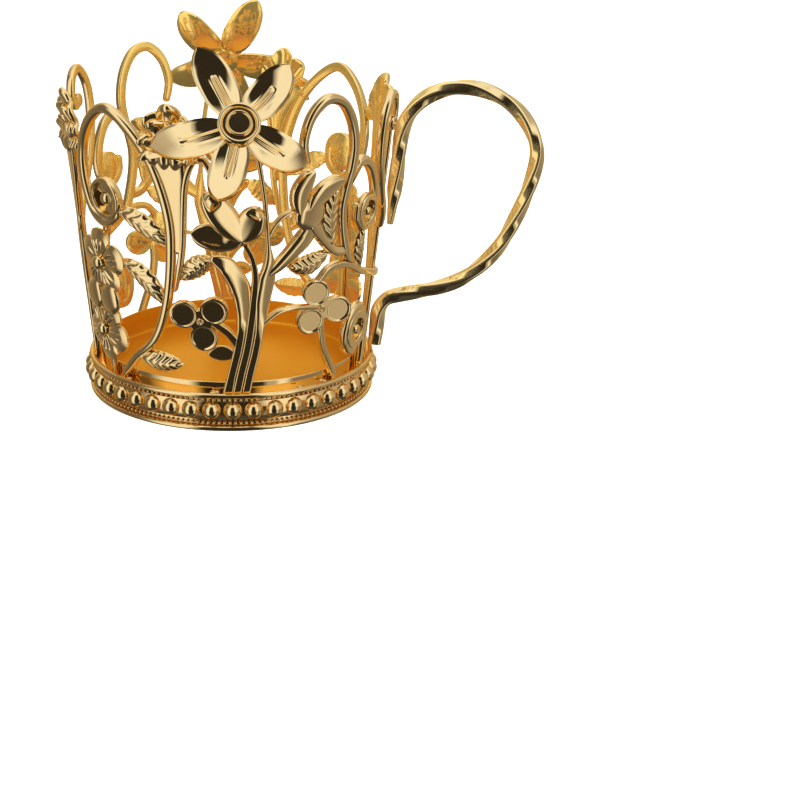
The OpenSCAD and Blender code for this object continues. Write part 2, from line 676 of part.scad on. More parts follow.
module flower() {
    color("#EBD39A") at_flower() {
        translate([0, 0, -flower_hub_back]) cylinder(r = flower_hub_r, h = flower_hub_back + flower_hub_front);
        for (k = [0:flower_petals - 1])
            rotate([0, 0, flower_turn + k * 360 / flower_petals]) translate([petal_start, 0, petal_lift])
            rotate([0, -petal_lean, 0]) translate([petal_l / 2, 0, -petal_sag]) {
                dished_oval(petal_l, petal_w, 0, petal_t);
                translate([petal_l * rib_shift_share, 0, 0]) dished_oval(petal_l * rib_l_share, rib_w, rib_h, petal_t / 2);
            }
    }
}

module flower_boss() {
    r = boss_d / 2;
    color("#3A2A18") at_flower() translate([0, 0, flower_hub_front + braze_gap]) rotate_extrude()
        polygon([[0, 0], [r, 0], [r, boss_step], [r - boss_ring_t, boss_h], [r - 2 * boss_ring_t, boss_h],
            [boss_disc_r, boss_step], [boss_disc_r, boss_h], [0, boss_h]]);
}

// The handle's line in its own plane: [share of the reach, share of the height above the lower root]
handle_shares = [[0, 0.36], [0, 0.58], [0, 0.8], [0.06, 0.905], [0.17, 0.968], [0.32, 1], [0.48, 1], [0.63, 0.972],
    [0.78, 0.915], [0.9, 0.835], [0.98, 0.74], [1, 0.65], [0.97, 0.52], [0.91, 0.385], [0.83, 0.26], [0.72, 0.165],
    [0.58, 0.092], [0.42, 0.05], [0.26, 0.028], [0.13, 0.012], [0.045, -0.008], [0, -0.06], [0, -0.14], [0, -0.23]];
function handle_pt(q) =
    let (z = base_h + handle_rise + handle_h * q[1])
    [wall_r((z - base_h) / wall_h) + bar_out + handle_reach * q[0], 0, z];
module handle() {
    at = [for (q = curve(handle_shares, 4)) handle_pt(q)];
    n = len(at) - 1;
    length = [for (i = 0, s = 0; i <= n; s = s + (i < n ? norm(at[i + 1] - at[i]) : 0), i = i + 1) s];
    rings = [for (i = [0:n])
        let (
            along = unit(at[min(i + 1, n)] - at[max(i - 1, 0)]),
            across = [0, 1, 0],
            face = cross(along, across),
            half = bar_w * sqrt(2) / 2 * min(1, bar_tip_share + length[i] / bar_taper),
            turn = 360 * length[i] / twist_pitch
        )
        [for (k = [0:3]) at[i] + (across * cos(turn + 90 * k) + face * sin(turn + 90 * k)) * half]];
    color("#D9B468") skin(rings);
}

HALVES = ["front", "back"];
PIECES = ["scroll_large", "scroll_small", "volute_low", "arch_tall", "arch_seam", "carnation_mid", "carnation_side",
    "stem_blossom", "blossom_upper", "blossom_lower", "stem_leaf", "stem_lotus", "stem_flower", "stem_tulip",
    "stem_sweep", "clover_left", "clover_right", "lotus", "tulip", "leaf_upper", "leaf_middle", "leaf_low", "leaf_pair",
    "leaf_right", "leaf_fern", "flower", "flower_boss"];

base_pan();
base_band();
bead_wire();
handle();
for (turn = [0, 1]) rotate([0, 0, 180 * turn]) {
    half = HALVES[turn];
    scroll_large();
    scroll_small();
    volute_low();
    arch_tall();
    arch_seam();
    carnation_mid();
    carnation_side();
    stem_blossom();
    blossom_upper();
    blossom_lower();
    stem_leaf();
    stem_lotus();
    stem_flower();
    stem_tulip();
    stem_sweep();
    clover_left();
    clover_right();
    lotus();
    tulip();
    leaf_upper();
    leaf_middle();
    leaf_low();
    leaf_pair();
    leaf_right();
    leaf_fern();
    flower();
    flower_boss();
}
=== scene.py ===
import bpy, bmesh, math
from math import cos, exp, hypot, pi, radians, sin, sqrt
import numpy as np
from mathutils import Matrix, Vector


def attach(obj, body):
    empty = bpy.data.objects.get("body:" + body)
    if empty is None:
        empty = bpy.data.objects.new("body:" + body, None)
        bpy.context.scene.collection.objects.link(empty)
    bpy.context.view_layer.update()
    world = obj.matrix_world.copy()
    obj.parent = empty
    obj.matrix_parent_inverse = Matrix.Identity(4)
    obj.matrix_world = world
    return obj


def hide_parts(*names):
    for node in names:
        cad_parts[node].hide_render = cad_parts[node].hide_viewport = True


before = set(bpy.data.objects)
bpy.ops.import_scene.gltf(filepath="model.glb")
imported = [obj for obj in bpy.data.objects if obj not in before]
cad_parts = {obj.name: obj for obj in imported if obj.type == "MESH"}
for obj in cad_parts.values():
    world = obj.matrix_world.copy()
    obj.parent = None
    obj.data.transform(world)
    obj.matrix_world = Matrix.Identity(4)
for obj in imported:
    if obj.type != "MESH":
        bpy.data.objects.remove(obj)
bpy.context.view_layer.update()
scene = bpy.context.scene
mm = 0.001
solder = 0.1        # how far a piece runs into what carries it, in mm
halfTurns = {"front": 1.0, "back": -1.0}


# the wall is a cone; a place on it is (degrees from the front, share of its height)
wall = dict(footRadius=33.1, flare=6.9, rise=69.0, ledge=9.0)


def wallRadius(share):
    return wall["footRadius"] + wall["flare"] * share


def onWall(place, out=0.0):
    turn = radians(place[0])
    radius = wallRadius(place[1]) + out
    return np.array([radius * sin(turn), -radius * cos(turn), wall["ledge"] + wall["rise"] * place[1]])


def unit(v):
    return v / np.linalg.norm(v)


def wallFace(place):
    turn = radians(place[0])
    return unit(np.array([sin(turn), -cos(turn), -wall["flare"] / wall["rise"]]))


def moved(place, right, up):
    share = place[1] + up / wall["rise"]
    return np.array([place[0] + math.degrees(right / wallRadius(share)), share])


def around(place, reach, degrees):
    turn = radians(degrees)
    return moved(place, reach * cos(turn), reach * sin(turn))


def smoothLine(places, steps=10):
    p = [np.array(q, float) for q in places]
    n = len(p) - 1
    line = []
    for i in range(n):
        a, b, c, d = p[max(i - 1, 0)], p[i], p[i + 1], p[min(i + 2, n)]
        for k in range(steps):
            t = k / steps
            bend, twist = a * 2 - b * 5 + c * 4 - d, b * 3 - a - c * 3 + d
            line.append((b * 2 + (c - a) * t + bend * t ** 2 + twist * t ** 3) / 2)
    return line + [p[n]]


def angleAt(line, share):
    heights = np.array([q[1] for q in line])
    return float(np.interp(share, heights, [q[0] for q in line]))


# planes that end a strip
ledgePlane = (np.array([0, 0, wall["ledge"] - solder]), np.array([0, 0, 1.0]))


def sidePlane(carrier, half, end, start):
    pts = np.array([onWall(q) for q in carrier])
    i = int(np.clip(np.argmin(np.linalg.norm(pts - onWall(end), axis=1)), 1, len(carrier) - 2))
    along = unit(pts[i + 1] - pts[i - 1])
    across = unit(np.cross(wallFace(carrier[i]), along))
    face = across * np.sign((onWall(start) - pts[i]) @ across)
    return pts[i] + face * (half - solder), face


def spotPlane(spot, reach, start):
    along = unit(onWall(start) - onWall(spot))
    return onWall(spot) + along * (reach - solder), along


# sections of a strip: points across it and out of the wall, in mm
def flatBar(soft):
    def section(t, w, d):
        bow = np.radians(np.linspace(0, 180, 21))
        c, r = np.cos(bow), np.sin(bow)
        front = np.stack([0.5 * w * np.sign(c) * np.abs(c) ** soft, d * (-0.1 + 0.6 * r ** soft)], 1)
        back = np.array([[-0.5, -0.3], [-0.47, -0.42], [-0.38, -0.5], [0.38, -0.5], [0.47, -0.42], [0.5, -0.3]])
        return np.vstack([front, back * [w, d]])
    return section


rounded, crowned, flat = flatBar(0.84), flatBar(0.62), flatBar(0.36)


def between(a, b, fromShare, toShare):
    def section(t, w, d):
        s = min(max((t - fromShare) / (toShare - fromShare), 0), 1)
        return a(t, w, d) * (1 - s) + b(t, w, d) * s
    return section


def spoon(at, reach):
    def section(t, w, d):
        u, v = np.linspace(1, -1, 25), np.linspace(-0.99, 0.99, 13)
        hollow = exp(-((t - at) / reach) ** 4)
        over = d * (0.5 * np.sqrt(1 - 0.96 * u ** 4) - 0.26 * hollow * np.clip(1 - (u / 0.6) ** 2, 0, 1) ** 0.7)
        return np.vstack([np.stack([u * w / 2, over], 1), np.stack([v * w / 2, -d * 0.5 * np.sqrt(1 - v ** 2)], 1)])
    return section


def veined(veins, slant, relief, rib, ribHalf, notch, fullWidth):
    def section(t, w, d):
        u = np.linspace(1, -1, 29)
        aside = np.abs(u)
        rise = d * (-0.1 + 0.6 * (1 - aside) ** 0.75)
        lobes = relief * np.abs(np.sin(pi * (t * veins - aside * slant))) ** 0.7
        lobes = lobes * np.clip(6 * aside, 0, 1) * np.clip(4 * (1 - aside), 0, 1)
        middle = rib * np.exp(-(u * w / 2 / ribHalf) ** 2)
        inset = 1 + notch * cos(2 * pi * (t * veins - slant))
        front = np.stack([u * w / 2 * inset, rise + (lobes + middle) * min(1, w / fullWidth)], 1)
        back = np.array([[-0.5, -0.4], [-0.42, -0.5], [0.42, -0.5], [0.5, -0.4]]) * [w * inset, d]
        return np.vstack([front, back])
    return section


def stops(value):
    return [(0, value), (1, value)] if np.isscalar(value) else value


def strip(line, widths, depths, section=crowned, out=0.0, start=None, end=None, tips=(True, True), roll=0.0):
    widths, depths, rolls = (np.array(stops(value), float) for value in (widths, depths, roll))
    n = len(line)
    at = np.array([onWall(q, out) for q in line])
    along = np.array([unit(at[min(i + 1, n - 1)] - at[max(i - 1, 0)]) for i in range(n)])
    across = np.array([unit(np.cross(wallFace(line[i]), along[i])) for i in range(n)])
    rings = []
    for i in range(n):
        t = i / (n - 1)
        w, d = np.interp(t, *widths.T), np.interp(t, *depths.T)
        q = section(t, w, d)
        turn = radians(np.interp(t, *rolls.T))
        c, r = cos(turn), sin(turn)
        q = q @ np.array([[c, r], [-r, c]])
        rings.append(at[i] + np.outer(q[:, 0], across[i]) + np.outer(q[:, 1], np.cross(along[i], across[i])))
    clear = lambda ring, plane: plane is None or ((ring - plane[0]) @ plane[1]).min() > 0
    kept = [i for i in range(n) if (i > n / 2 or clear(rings[i], start)) and (i <= n / 2 or clear(rings[i], end))]
    first, last = kept[0], kept[-1]
    slide = lambda ring, way, plane: ring - np.outer(((ring - plane[0]) @ plane[1]) / (way @ plane[1]), way)
    done = [rings[i] for i in kept]
    rounding = ((0.45, 0.9), (0.8, 0.6), (0.98, 0.22))
    if start is not None:
        done.insert(0, slide(rings[first], unit(at[0] - at[first]) if first else -along[0], start))
    elif tips[0]:
        half = widths[0, 1] / 2
        done = [at[0] - along[0] * half * o + (rings[0] - at[0]) * s for o, s in reversed(rounding)] + done
    if end is not None:
        done.append(slide(rings[last], unit(at[-1] - at[last]) if last < n - 1 else along[-1], end))
    elif tips[1]:
        half = widths[-1, 1] / 2
        done = done + [at[-1] + along[-1] * half * o + (rings[-1] - at[-1]) * s for o, s in rounding]
    return skin(done)


def skin(rings):
    rings = np.array(rings)
    n, k = rings.shape[:2]
    faces = []
    for r in range(n - 1):
        for i in range(k):
            a, b = r * k + i, r * k + (i + 1) % k
            faces.append((a, b, b + k, a + k))
    faces += [tuple(range(k - 1, -1, -1)), tuple((n - 1) * k + i for i in range(k))]
    return rings.reshape(-1, 3), faces


# a turned form from points (radius, height); a profile that leaves the axis closes on itself
def turned(profile, sides=48, place=None):
    profile = np.array(profile, float)
    n, closed = len(profile), profile[0][0] > 1e-6
    bow = np.linspace(0, 2 * pi, sides, endpoint=False)
    verts = np.array([[r * cos(a), r * sin(a), z] for a in bow for r, z in profile])
    faces = []
    for s in range(sides):
        for i in range(n if closed else n - 1):
            j = (i + 1) % n
            faces.append((s * n + i, ((s + 1) % sides) * n + i, ((s + 1) % sides) * n + j, s * n + j))
    if place is not None:
        verts = np.array([place @ Vector(v) for v in verts])
    return verts, faces


def wallPlace(place, out=0.0):
    lean = math.atan(wall["flare"] / wall["rise"])
    return (Matrix.Translation(onWall(place, out)) @ Matrix.Rotation(radians(place[0]), 4, "Z")
            @ Matrix.Rotation(pi / 2 + lean, 4, "X"))


def arcPoints(cx, cz, r, fromDeg, toDeg, count):
    bow = np.radians(np.linspace(fromDeg, toDeg, count))
    return [(cx + r * cos(a), cz + r * sin(a)) for a in bow]


# profiles to turn: a dome that ends on the axis, and a ball
def domePoints(r, foot, rise, fromDeg, count):
    bow = np.radians(np.linspace(fromDeg, 90, count))
    return [(r * cos(a), foot + rise * sin(a)) for a in bow[:-1]] + [(0, foot + rise)]


def ballPoints(r, rows):
    return [(r * sin(a), -r * cos(a)) for a in np.linspace(0, pi, rows)]


print("tools ready")


# sums in node trees are written as plain expressions on sockets
class Flow:
    def __init__(self, bench, socket):
        self.bench, self.socket = bench, socket

    def sum(self, operation, *others):
        node = self.bench.add("ShaderNodeMath", dict(operation=operation))
        for i, value in enumerate((self,) + others):
            self.bench.feed(node.inputs[i], value)
        return Flow(self.bench, node.outputs[0])

    def __add__(self, o): return self.sum("ADD", o)
    def __rsub__(self, o): return self * -1.0 + o
    def __mul__(self, o): return self.sum("MULTIPLY", o)
    def __truediv__(self, o): return self.sum("DIVIDE", o)


class Bench:
    def __init__(self, tree):
        self.tree = tree
        tree.nodes.clear()

    def add(self, kind, settings=None, **sockets):
        node = self.tree.nodes.new(kind)
        for key, value in (settings or {}).items():
            if key == "stops":
                ramp = node.color_ramp
                while len(ramp.elements) < len(value):
                    ramp.elements.new(0.5)
                for element, (position, colour) in zip(ramp.elements, value):
                    element.position, element.color = position, (*colour, 1)
            else:
                setattr(node, key, value)
        for key, value in sockets.items():
            self.feed(node.inputs[key.replace("_", " ")], value)
        return node

    def feed(self, socket, value):
        source = value.socket if isinstance(value, Flow) else value
        if isinstance(source, bpy.types.NodeSocket):
            self.tree.links.new(source, socket)
        else:
            socket.default_value = value

    def out(self, node, name=0):
        return Flow(self, node.outputs[name])

    def blend(self, factor, a, b):
        node = self.add("ShaderNodeMix", dict(data_type="RGBA"))
        for i, value in ((0, factor), (6, a), (7, b)):
            self.feed(node.inputs[i], value)
        return node.outputs[2]


# the inner colour of each finish is a painted reflection: the amber light that gold throws onto gold inside the holder,
# painted onto the faces toward the middle
giltFinish = {
    "giltWall": dict(
        outer=(0.97, 0.73, 0.36, 1), paintedReflection=(0.98, 0.67, 0.18, 1), rough=0.04, vary=0.05, ripple=0.006, grain=420.0),
    "giltBase": dict(
        outer=(0.95, 0.71, 0.34, 1), paintedReflection=(0.8, 0.385, 0.022, 1), rough=0.05, vary=0.05, ripple=0.02, grain=300.0,
        inRough=0.28, edge=(1.0, 0.58, 0.13, 1), paintedReflectionMatte=0.3),
    "giltHandle": dict(
        outer=(0.98, 0.78, 0.4, 1), paintedReflection=(0.98, 0.7, 0.24, 1), rough=0.05, vary=0.05, ripple=0.012, grain=260.0),
    "giltFlower": dict(
        outer=(0.97, 0.76, 0.4, 1), paintedReflection=(0.98, 0.67, 0.18, 1), rough=0.03, vary=0.03, ripple=0.004, grain=220.0),
}
# the share that faces toward the middle lose of their metal is painted reflection, not wear: the lamps light the amber
# there as a matte colour
plating = dict(  # what the finishes share, unless one has its own value
    deep=(0.7, 0.42, 0.14, 1), deepShare=0.12, edge=(1.0, 0.82, 0.5, 1), inRough=0.05, paintedReflectionMatte=0.18, cloudScale=95.0,
    cloudDetail=3.0, poreDetail=4.0, poreRough=0.6, poreShare=0.6, bumpHeight=0.0006)


def giltMaterial(name, own):
    finish = {**plating, **own}
    material = bpy.data.materials.new(name)
    material.use_nodes = True
    bench = Bench(material.node_tree)
    object3d = bench.add("ShaderNodeTexCoord").outputs["Object"]
    cloud = bench.out(bench.add("ShaderNodeTexNoise", Vector=object3d, Scale=finish["cloudScale"],
                                Detail=finish["cloudDetail"]), "Fac")
    pores = bench.out(bench.add("ShaderNodeTexNoise", Vector=object3d, Scale=finish["grain"],
                                Detail=finish["poreDetail"], Roughness=finish["poreRough"]), "Fac")
    inward = bench.out(bench.add("ShaderNodeAttribute", dict(attribute_name="inward")), "Fac")
    # painted reflection: faces toward the middle take the amber inner colour
    reflectionTinted = bench.blend(inward, finish["outer"], finish["paintedReflection"])
    clouded = bench.blend(cloud * finish["deepShare"] * (1.0 - inward), reflectionTinted, finish["deep"])
    roughness = cloud * finish["vary"] + inward * finish["inRough"] + finish["rough"]
    bump = bench.add("ShaderNodeBump", Strength=finish["ripple"], Distance=finish["bumpHeight"],
                     Height=pores * finish["poreShare"] + cloud)
    # painted reflection: on faces toward the middle part of the metal turns matte, so the lamps light the painted amber
    shader = bench.add(
        "ShaderNodeBsdfPrincipled", Base_Color=clouded, Metallic=1.0 - inward * finish["paintedReflectionMatte"],
        Specular_Tint=finish["edge"], Roughness=roughness, Normal=bump.outputs["Normal"])
    bench.feed(bench.add("ShaderNodeOutputMaterial").inputs[0], shader.outputs[0])
    return material


gilt = {name: giltMaterial(name, finish) for name, finish in giltFinish.items()}
print("finishes ready")


inwardReflection = dict(base=0.25, gain=1.2, onset=8, floorReach=31.6)


def vertexRows(mesh, key):
    rows = np.zeros(len(mesh.vertices) * 3)
    mesh.vertices.foreach_get(key, rows)
    return rows.reshape(-1, 3)


# marks what faces the middle of the holder, where a painted reflection makes the colour amber, standing in for the
# light that gold throws onto gold
def paintInwardReflection(mesh, insideFloor):
    co, no = vertexRows(mesh, "co"), vertexRows(mesh, "normal")
    radius = np.hypot(co[:, 0], co[:, 1])
    facing = -(no[:, 0] * co[:, 0] + no[:, 1] * co[:, 1]) / np.maximum(radius, 1e-6)
    inward = np.clip(inwardReflection["base"] + inwardReflection["gain"] * facing, 0, 1) * np.clip(facing * inwardReflection["onset"], 0, 1)
    # the pan's floor inside the wall takes the whole painted reflection
    if insideFloor:
        inward = np.maximum(inward, ((no[:, 2] > 0.5) & (radius < inwardReflection["floorReach"] * mm)).astype(float))
    mesh.attributes.new("inward", "FLOAT", "POINT").data.foreach_set("value", inward.astype(np.float32))


meshing = dict(weld=2e-6, thinnest=1e-7, sharp=50)


def meshFrom(name, shells, flip):
    verts, faces, start = [], [], 0
    for v, f in shells:
        verts.append(np.asarray(v) * [flip * mm, flip * mm, mm])
        faces += [tuple(i + start for i in face) for face in f]
        start += len(v)
    mesh = bpy.data.meshes.new(name)
    mesh.from_pydata(np.vstack(verts).tolist(), [], faces)
    work = bmesh.new()
    work.from_mesh(mesh)
    bmesh.ops.remove_doubles(work, verts=work.verts, dist=meshing["weld"])
    bmesh.ops.dissolve_degenerate(work, dist=meshing["thinnest"], edges=work.edges)
    bmesh.ops.recalc_face_normals(work, faces=work.faces)
    work.to_mesh(mesh)
    work.free()
    mesh.polygons.foreach_set("use_smooth", [True] * len(mesh.polygons))
    mesh.set_sharp_from_angle(angle=radians(meshing["sharp"]))
    return mesh


def placed(name, data):
    item = bpy.data.objects.new(name, data)
    scene.collection.objects.link(item)
    return item


def addPiece(name, shells, finish, nodes, flip=1.0, insideFloor=False):
    mesh = meshFrom(name, shells, flip)
    paintInwardReflection(mesh, insideFloor)
    piece = placed(name, mesh)
    mesh.materials.append(gilt[finish])
    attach(piece, "root")
    if nodes:
        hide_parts(*nodes)


def addPair(node, shells, finish="giltWall"):
    for half, flip in halfTurns.items():
        addPiece(f"{half}_{node}_gilt", shells, finish, [f"{half}_{node}"], flip)


# scrolls and arches
scrolls = dict(
    width=2.4, depth=2.0, stem=1.8, volute=2.5,
    large=[(-50, 0), (-41.5, 0.087), (-31, 0.174), (-25, 0.304), (-22, 0.478), (-22.2, 0.623), (-27, 0.783),
           (-35, 0.891), (-44.4, 0.942), (-53.6, 0.888), (-60.4, 0.79), (-62, 0.688), (-58.5, 0.588), (-51, 0.551),
           (-44, 0.583), (-43, 0.64)],
    largeEye=((-48.4, 0.637), 4.9, 3.7, 1.5),
    tall=[(25.5, 0.8), (24.2, 0.86), (26, 0.935), (30, 0.983), (34, 0.994), (39, 0.971), (43.5, 0.906), (45.7, 0.826),
          (45.3, 0.754), (43.4, 0.688), (42.3, 0.616), (43.7, 0.536), (47, 0.449), (49.8, 0.4)],
    small=[(44.2, 0.703), (46.4, 0.742), (51, 0.768), (56.5, 0.739), (61, 0.674), (63.2, 0.601), (60.8, 0.545),
           (55.6, 0.529), (51, 0.562), (50.3, 0.61)],
    smallEye=((57.0, 0.583), 4.2, 2.6, 1.2),
    low=[(68.5, 0), (69, 0.087), (66.4, 0.174), (60, 0.232), (53.5, 0.203), (51.4, 0.138), (54.2, 0.085),
         (58.8, 0.078)],
    lowEye=((58.8, 0.15), 4.9, 2.8, 1.4),
    post=[(90, 0), (90, 0.45), (90, 0.88)], postWidth=2.6, postDepth=1.2, postOut=-0.4,
    seam=[(89, 0.464), (81, 0.53), (73, 0.594), (66.7, 0.696), (63.6, 0.812), (64.5, 0.906), (69.4, 0.961), (75, 0.935),
          (77.5, 0.877), (75.4, 0.838), (72.6, 0.855)],
    seamEye=(1.6, 1.0, 0.6))
stems = dict(
    width=1.8, trunkWidth=2.0, depth=1.8, twig=1.1, pitch=2.067,
    trunk=[(1.8, 0), (3.4, 0.072), (5.6, 0.159), (7, 0.246)],
    leaf=[(4.2, 0.32), (2.8, 0.385), (-1.5, 0.452), (-6.5, 0.478)],
    lotus=[(7.9, 0.33), (8.4, 0.413), (7.2, 0.48), (4.6, 0.53)],
    flower=[(11.2, 0.33), (12.6, 0.406), (13.3, 0.464), (12.6, 0.536), (11.7, 0.638), (10.2, 0.739), (8.2, 0.833),
            (5.6, 0.9), (3.6, 0.93)],
    sweep=[(34.6, 0.385), (37.8, 0.412), (43, 0.42), (49.2, 0.406), (56.7, 0.372), (67.8, 0.338), (79, 0.31),
           (89.5, 0.29)],
    blossom=[(-59, 0), (-56.9, 0.16), (-54, 0.41), (-50.7, 0.551)], blossomWidth=2.0, blossomDepth=1.3, blossomOut=-0.3,
    leafWidths=[(0, 2.5), (0.12, 2.0), (0.4, 2.0), (0.56, 4.214), (0.7, 4.9), (0.86, 4.41), (1, 1.8)],
    leafRoll=[(0, 0), (0.36, 0), (0.48, 21), (0.8, 27), (1, 27)], leafCrown=(0.36, 0.5),
    flowerWidths=[(0, 2.0), (0.22, 2.0), (0.33, 3.78), (0.42, 4.2), (0.48, 2.94), (0.57, 1.1), (1, 1.1)],
    flowerRoll=[(0, 0), (0.2, 0), (0.3, 14), (0.47, 14), (0.57, 0), (1, 0)], flowerCrown=(0.2, 0.3),
    plainLeaf=[(1.5, 0.138), (-4, 0.145), (-9, 0.14)], plainLeafWidth=3.8)


def strand(k):
    return [moved(q, k * stems["pitch"], 0) for q in stems["trunk"]]


largeLine, tallLine, smallLine, lowLine, postLine, seamLine = (
    smoothLine(scrolls[name]) for name in ("large", "tall", "small", "low", "post", "seam"))
leafLine = smoothLine(strand(-1) + stems["leaf"])
lotusLine = smoothLine(strand(0) + stems["lotus"])
flowerLine = smoothLine(strand(1) + stems["flower"])
sweepLine, blossomLine = smoothLine(stems["sweep"]), smoothLine(stems["blossom"])


eyeForm = dict(
    soft=0.15, shoulder=0.3, crown=0.06, flatOut=0.4, flatIn=0.35, lip=0.1, draft=0.05, sunk=0.8,
    beadFoot=0.1, beadRise=0.35)


# a ring round a sunk floor with a bead
def eye(place, r, recess, bead):
    e, top = eyeForm, scrolls["depth"] / 2
    bottom = top - e["sunk"]
    profile = [
        (0, -top), (r - e["soft"], -top), (r, -top + e["soft"]), (r, top - e["shoulder"]),
        (r - e["soft"], top - e["crown"]), (r - e["flatOut"], top + e["crown"]),
        (recess + e["flatIn"], top + e["crown"]), (recess + e["lip"], top - e["crown"]),
        (recess, top - e["shoulder"]), (recess - e["draft"], bottom), (bead + e["beadFoot"], bottom)]
    return turned(profile + domePoints(bead, bottom, e["sunk"] + e["beadRise"], 4, 10), 48, wallPlace(place))


w, d, thin, volute = (scrolls[name] for name in ("width", "depth", "stem", "volute"))
addPair("scroll_large", [
    strip(largeLine, [(0, thin), (0.3, w), (1, w)], d, rounded, start=ledgePlane), eye(*scrolls["largeEye"])])
addPair("scroll_small", [
    strip(smallLine, [(0, volute), (0.6, volute), (1, thin)], d, rounded,
          start=sidePlane(tallLine, w / 2, smallLine[0], smallLine[20])), eye(*scrolls["smallEye"])])
addPair("volute_low", [
    strip(lowLine, [(0, thin), (0.35, volute), (1, volute)], d, rounded, start=ledgePlane), eye(*scrolls["lowEye"])])
addPair("arch_tall", [
    strip(tallLine, [(0, thin), (0.2, w), (1, w)], d, rounded,
          end=sidePlane(sweepLine, stems["width"] / 2, tallLine[-1], tallLine[-31]))])
addPair("arch_seam", [
    strip(postLine, scrolls["postWidth"], scrolls["postDepth"], out=scrolls["postOut"], start=ledgePlane),
    strip(seamLine, [(0, w), (1, thin)], d, rounded), eye(seamLine[-1], *scrolls["seamEye"])])
print("scrolls built")

# leaves with a midrib and slanted veins
leaves = dict(
    width=5.0, depth=1.6, edge=1.0, tip=0.5, fernWidth=4.2, joint=0.05,
    carving=dict(veins=7, slant=1.3, relief=0.36, rib=0.2, ribHalf=0.2, notch=0.045, fullWidth=2.2),
    upper=[(-42.6, 0.612), (-32.8, 0.575), (-21.8, 0.519)], low=[(-39.7, 0.103), (-29.5, 0.09), (-19.6, 0.094)],
    pair=[(-6.5, 0.48), (-12.5, 0.448), (-18.5, 0.4)], right=[(37, 0.478), (29, 0.44), (20.5, 0.442)],
    middle=[(-33.5, 0.385), (-25, 0.305)], fern=[(55.6, 0.376), (55, 0.45), (55.5, 0.53)],
    cross=[(30, 0.585), (34, 0.53), (39.5, 0.478), (44.5, 0.466)],
    hook=[(-20.7, 0.36), (-19.3, 0.42), (-18.2, 0.47), (-17.2, 0.536), (-16.4, 0.638), (-15.3, 0.732), (-12.7, 0.797),
          (-9.3, 0.812), (-6.8, 0.775)],
    hookWidth=1.5)
flowers = dict(
    blossomReach=7.3, blossomDepth=1.7, gap=0.1, upper=(-54, 0.41), upperTurn=15, lower=(-56.8, 0.165), lowerTurn=55,
    valley=0.75, bulge=0.36, level=0.58, swell=0.27, droop=0.2, rib=0.3, ribHalf=2.4, ribTurns=(-15, 0, 15), rim=0.12,
    core=1.7, coreFoot=0.9, coreRise=0.75, buds=[(-60.2, 0.284), (-50, 0.284)], budSize=(3.4, 3.7, 1.3), budOut=1.0)
crossLine, hookLine = smoothLine(leaves["cross"]), smoothLine(leaves["hook"])


def lens(w, power=0.8):
    t = np.linspace(0, 1, 41)
    return [(s, max(leaves["tip"], w * sin(pi * s) ** power)) for s in t]


def leaf(places, width):
    thick = [(0, leaves["edge"]), (0.3, leaves["depth"]), (0.7, leaves["depth"]), (1, leaves["edge"])]
    return strip(smoothLine(places, 36), lens(width), thick, veined(**leaves["carving"]))


for name in ("upper", "low", "pair", "right"):
    addPair(f"leaf_{name}", [leaf(leaves[name], leaves["width"])])
middleRoot = around(flowers["upper"], flowers["blossomReach"] + leaves["joint"], flowers["upperTurn"])
addPair("leaf_middle", [leaf([middleRoot] + leaves["middle"], leaves["width"])])
addPair("leaf_fern", [leaf(leaves["fern"], leaves["fernWidth"])])
print("leaves built")

# stems; three strands lie side by side in the trunk
sw, sd = stems["width"], stems["depth"]
lotus = dict(
    place=(3.6, 0.545), bead=1.5, width=6.6, depth=2.4, out=0.3, blunt=0.55,  # petals: tip, roll, hollow
    petals=[((-9.2, 0.703), 24, (0.8, 0.1)), ((9.2, 0.655), -24, (0.8, 0.1)), ((-13.6, 0.565), 16, (0.56, 0.24))])
bigFlower = dict(
    place=(2.3, 0.929), out=2.5, tilt=30, turn=41,  # petals: sway, stretch, roll
    petals=[(7, 0.96, -5), (5, 1.06, -13), (12, 1.14, 0), (-3, 1.05, 9), (-4, 0.98, 0)],
    hub=3.6, hubBack=1.2, hubFront=1.4, hubSoft=0.3, start=1.5, lift=1.1, lean=10, length=16.0, width=8.1, thick=0.9,
    dish=16.0, ribLength=0.62, ribEnd=0.08, ribHeight=0.55, ribWidth=0.42, ribGroove=0.16, grooveHalf=0.3,
    rim=0.22, rimHalf=0.35)
flowerTurn = radians(bigFlower["place"][0])
tiltTurn = radians(bigFlower["tilt"])
flowerAxis = np.array([
    sin(flowerTurn) * cos(tiltTurn), -cos(flowerTurn) * cos(tiltTurn), sin(tiltTurn)])
flowerSpot = onWall(bigFlower["place"], bigFlower["out"])
flowerBack = (flowerSpot - flowerAxis * (bigFlower["hubBack"] - solder), -flowerAxis)
flowerPlace = (Matrix.Translation(flowerSpot) @ Matrix.Rotation(flowerTurn, 4, "Z")
               @ Matrix.Rotation(pi / 2 - tiltTurn, 4, "X"))
tulip = dict(
    stem=[(13.2, 0.425), (17, 0.452), (22.3, 0.498), (27, 0.545), (29, 0.585)], stemRoll=12,
    stemWidths=[(0, 1.8), (0.3, 3.2), (0.65, 4.6), (0.9, 4.6), (1, 3.0)], stemDepths=[(0, 1.8), (0.7, 2.6), (1, 1.8)],
    cup=(27.8, 0.617), cupSize=(4.3, 3.8, 1.5), cupTurn=12, cupOut=0.3,
    twig=[(12.6, 0.545), (14.1, 0.582), (17.5, 0.618), (22, 0.638)],
    petals=[[(22.8, 0.628), (23.4, 0.7), (27.3, 0.768)], [(26.2, 0.64), (32.4, 0.692), (39.6, 0.728)]],
    petalWidth=4.8, petalDepth=2.5, petalOut=0.8, petalRoll=4, blunt=0.55,
    leaf=[(37.8, 0.492), (36.4, 0.6), (37.8, 0.69)], leafWidth=5.2,
    crossWidths=[(0, 4.4), (0.4, 3.2), (1, 2.0)], crossRoll=-26)
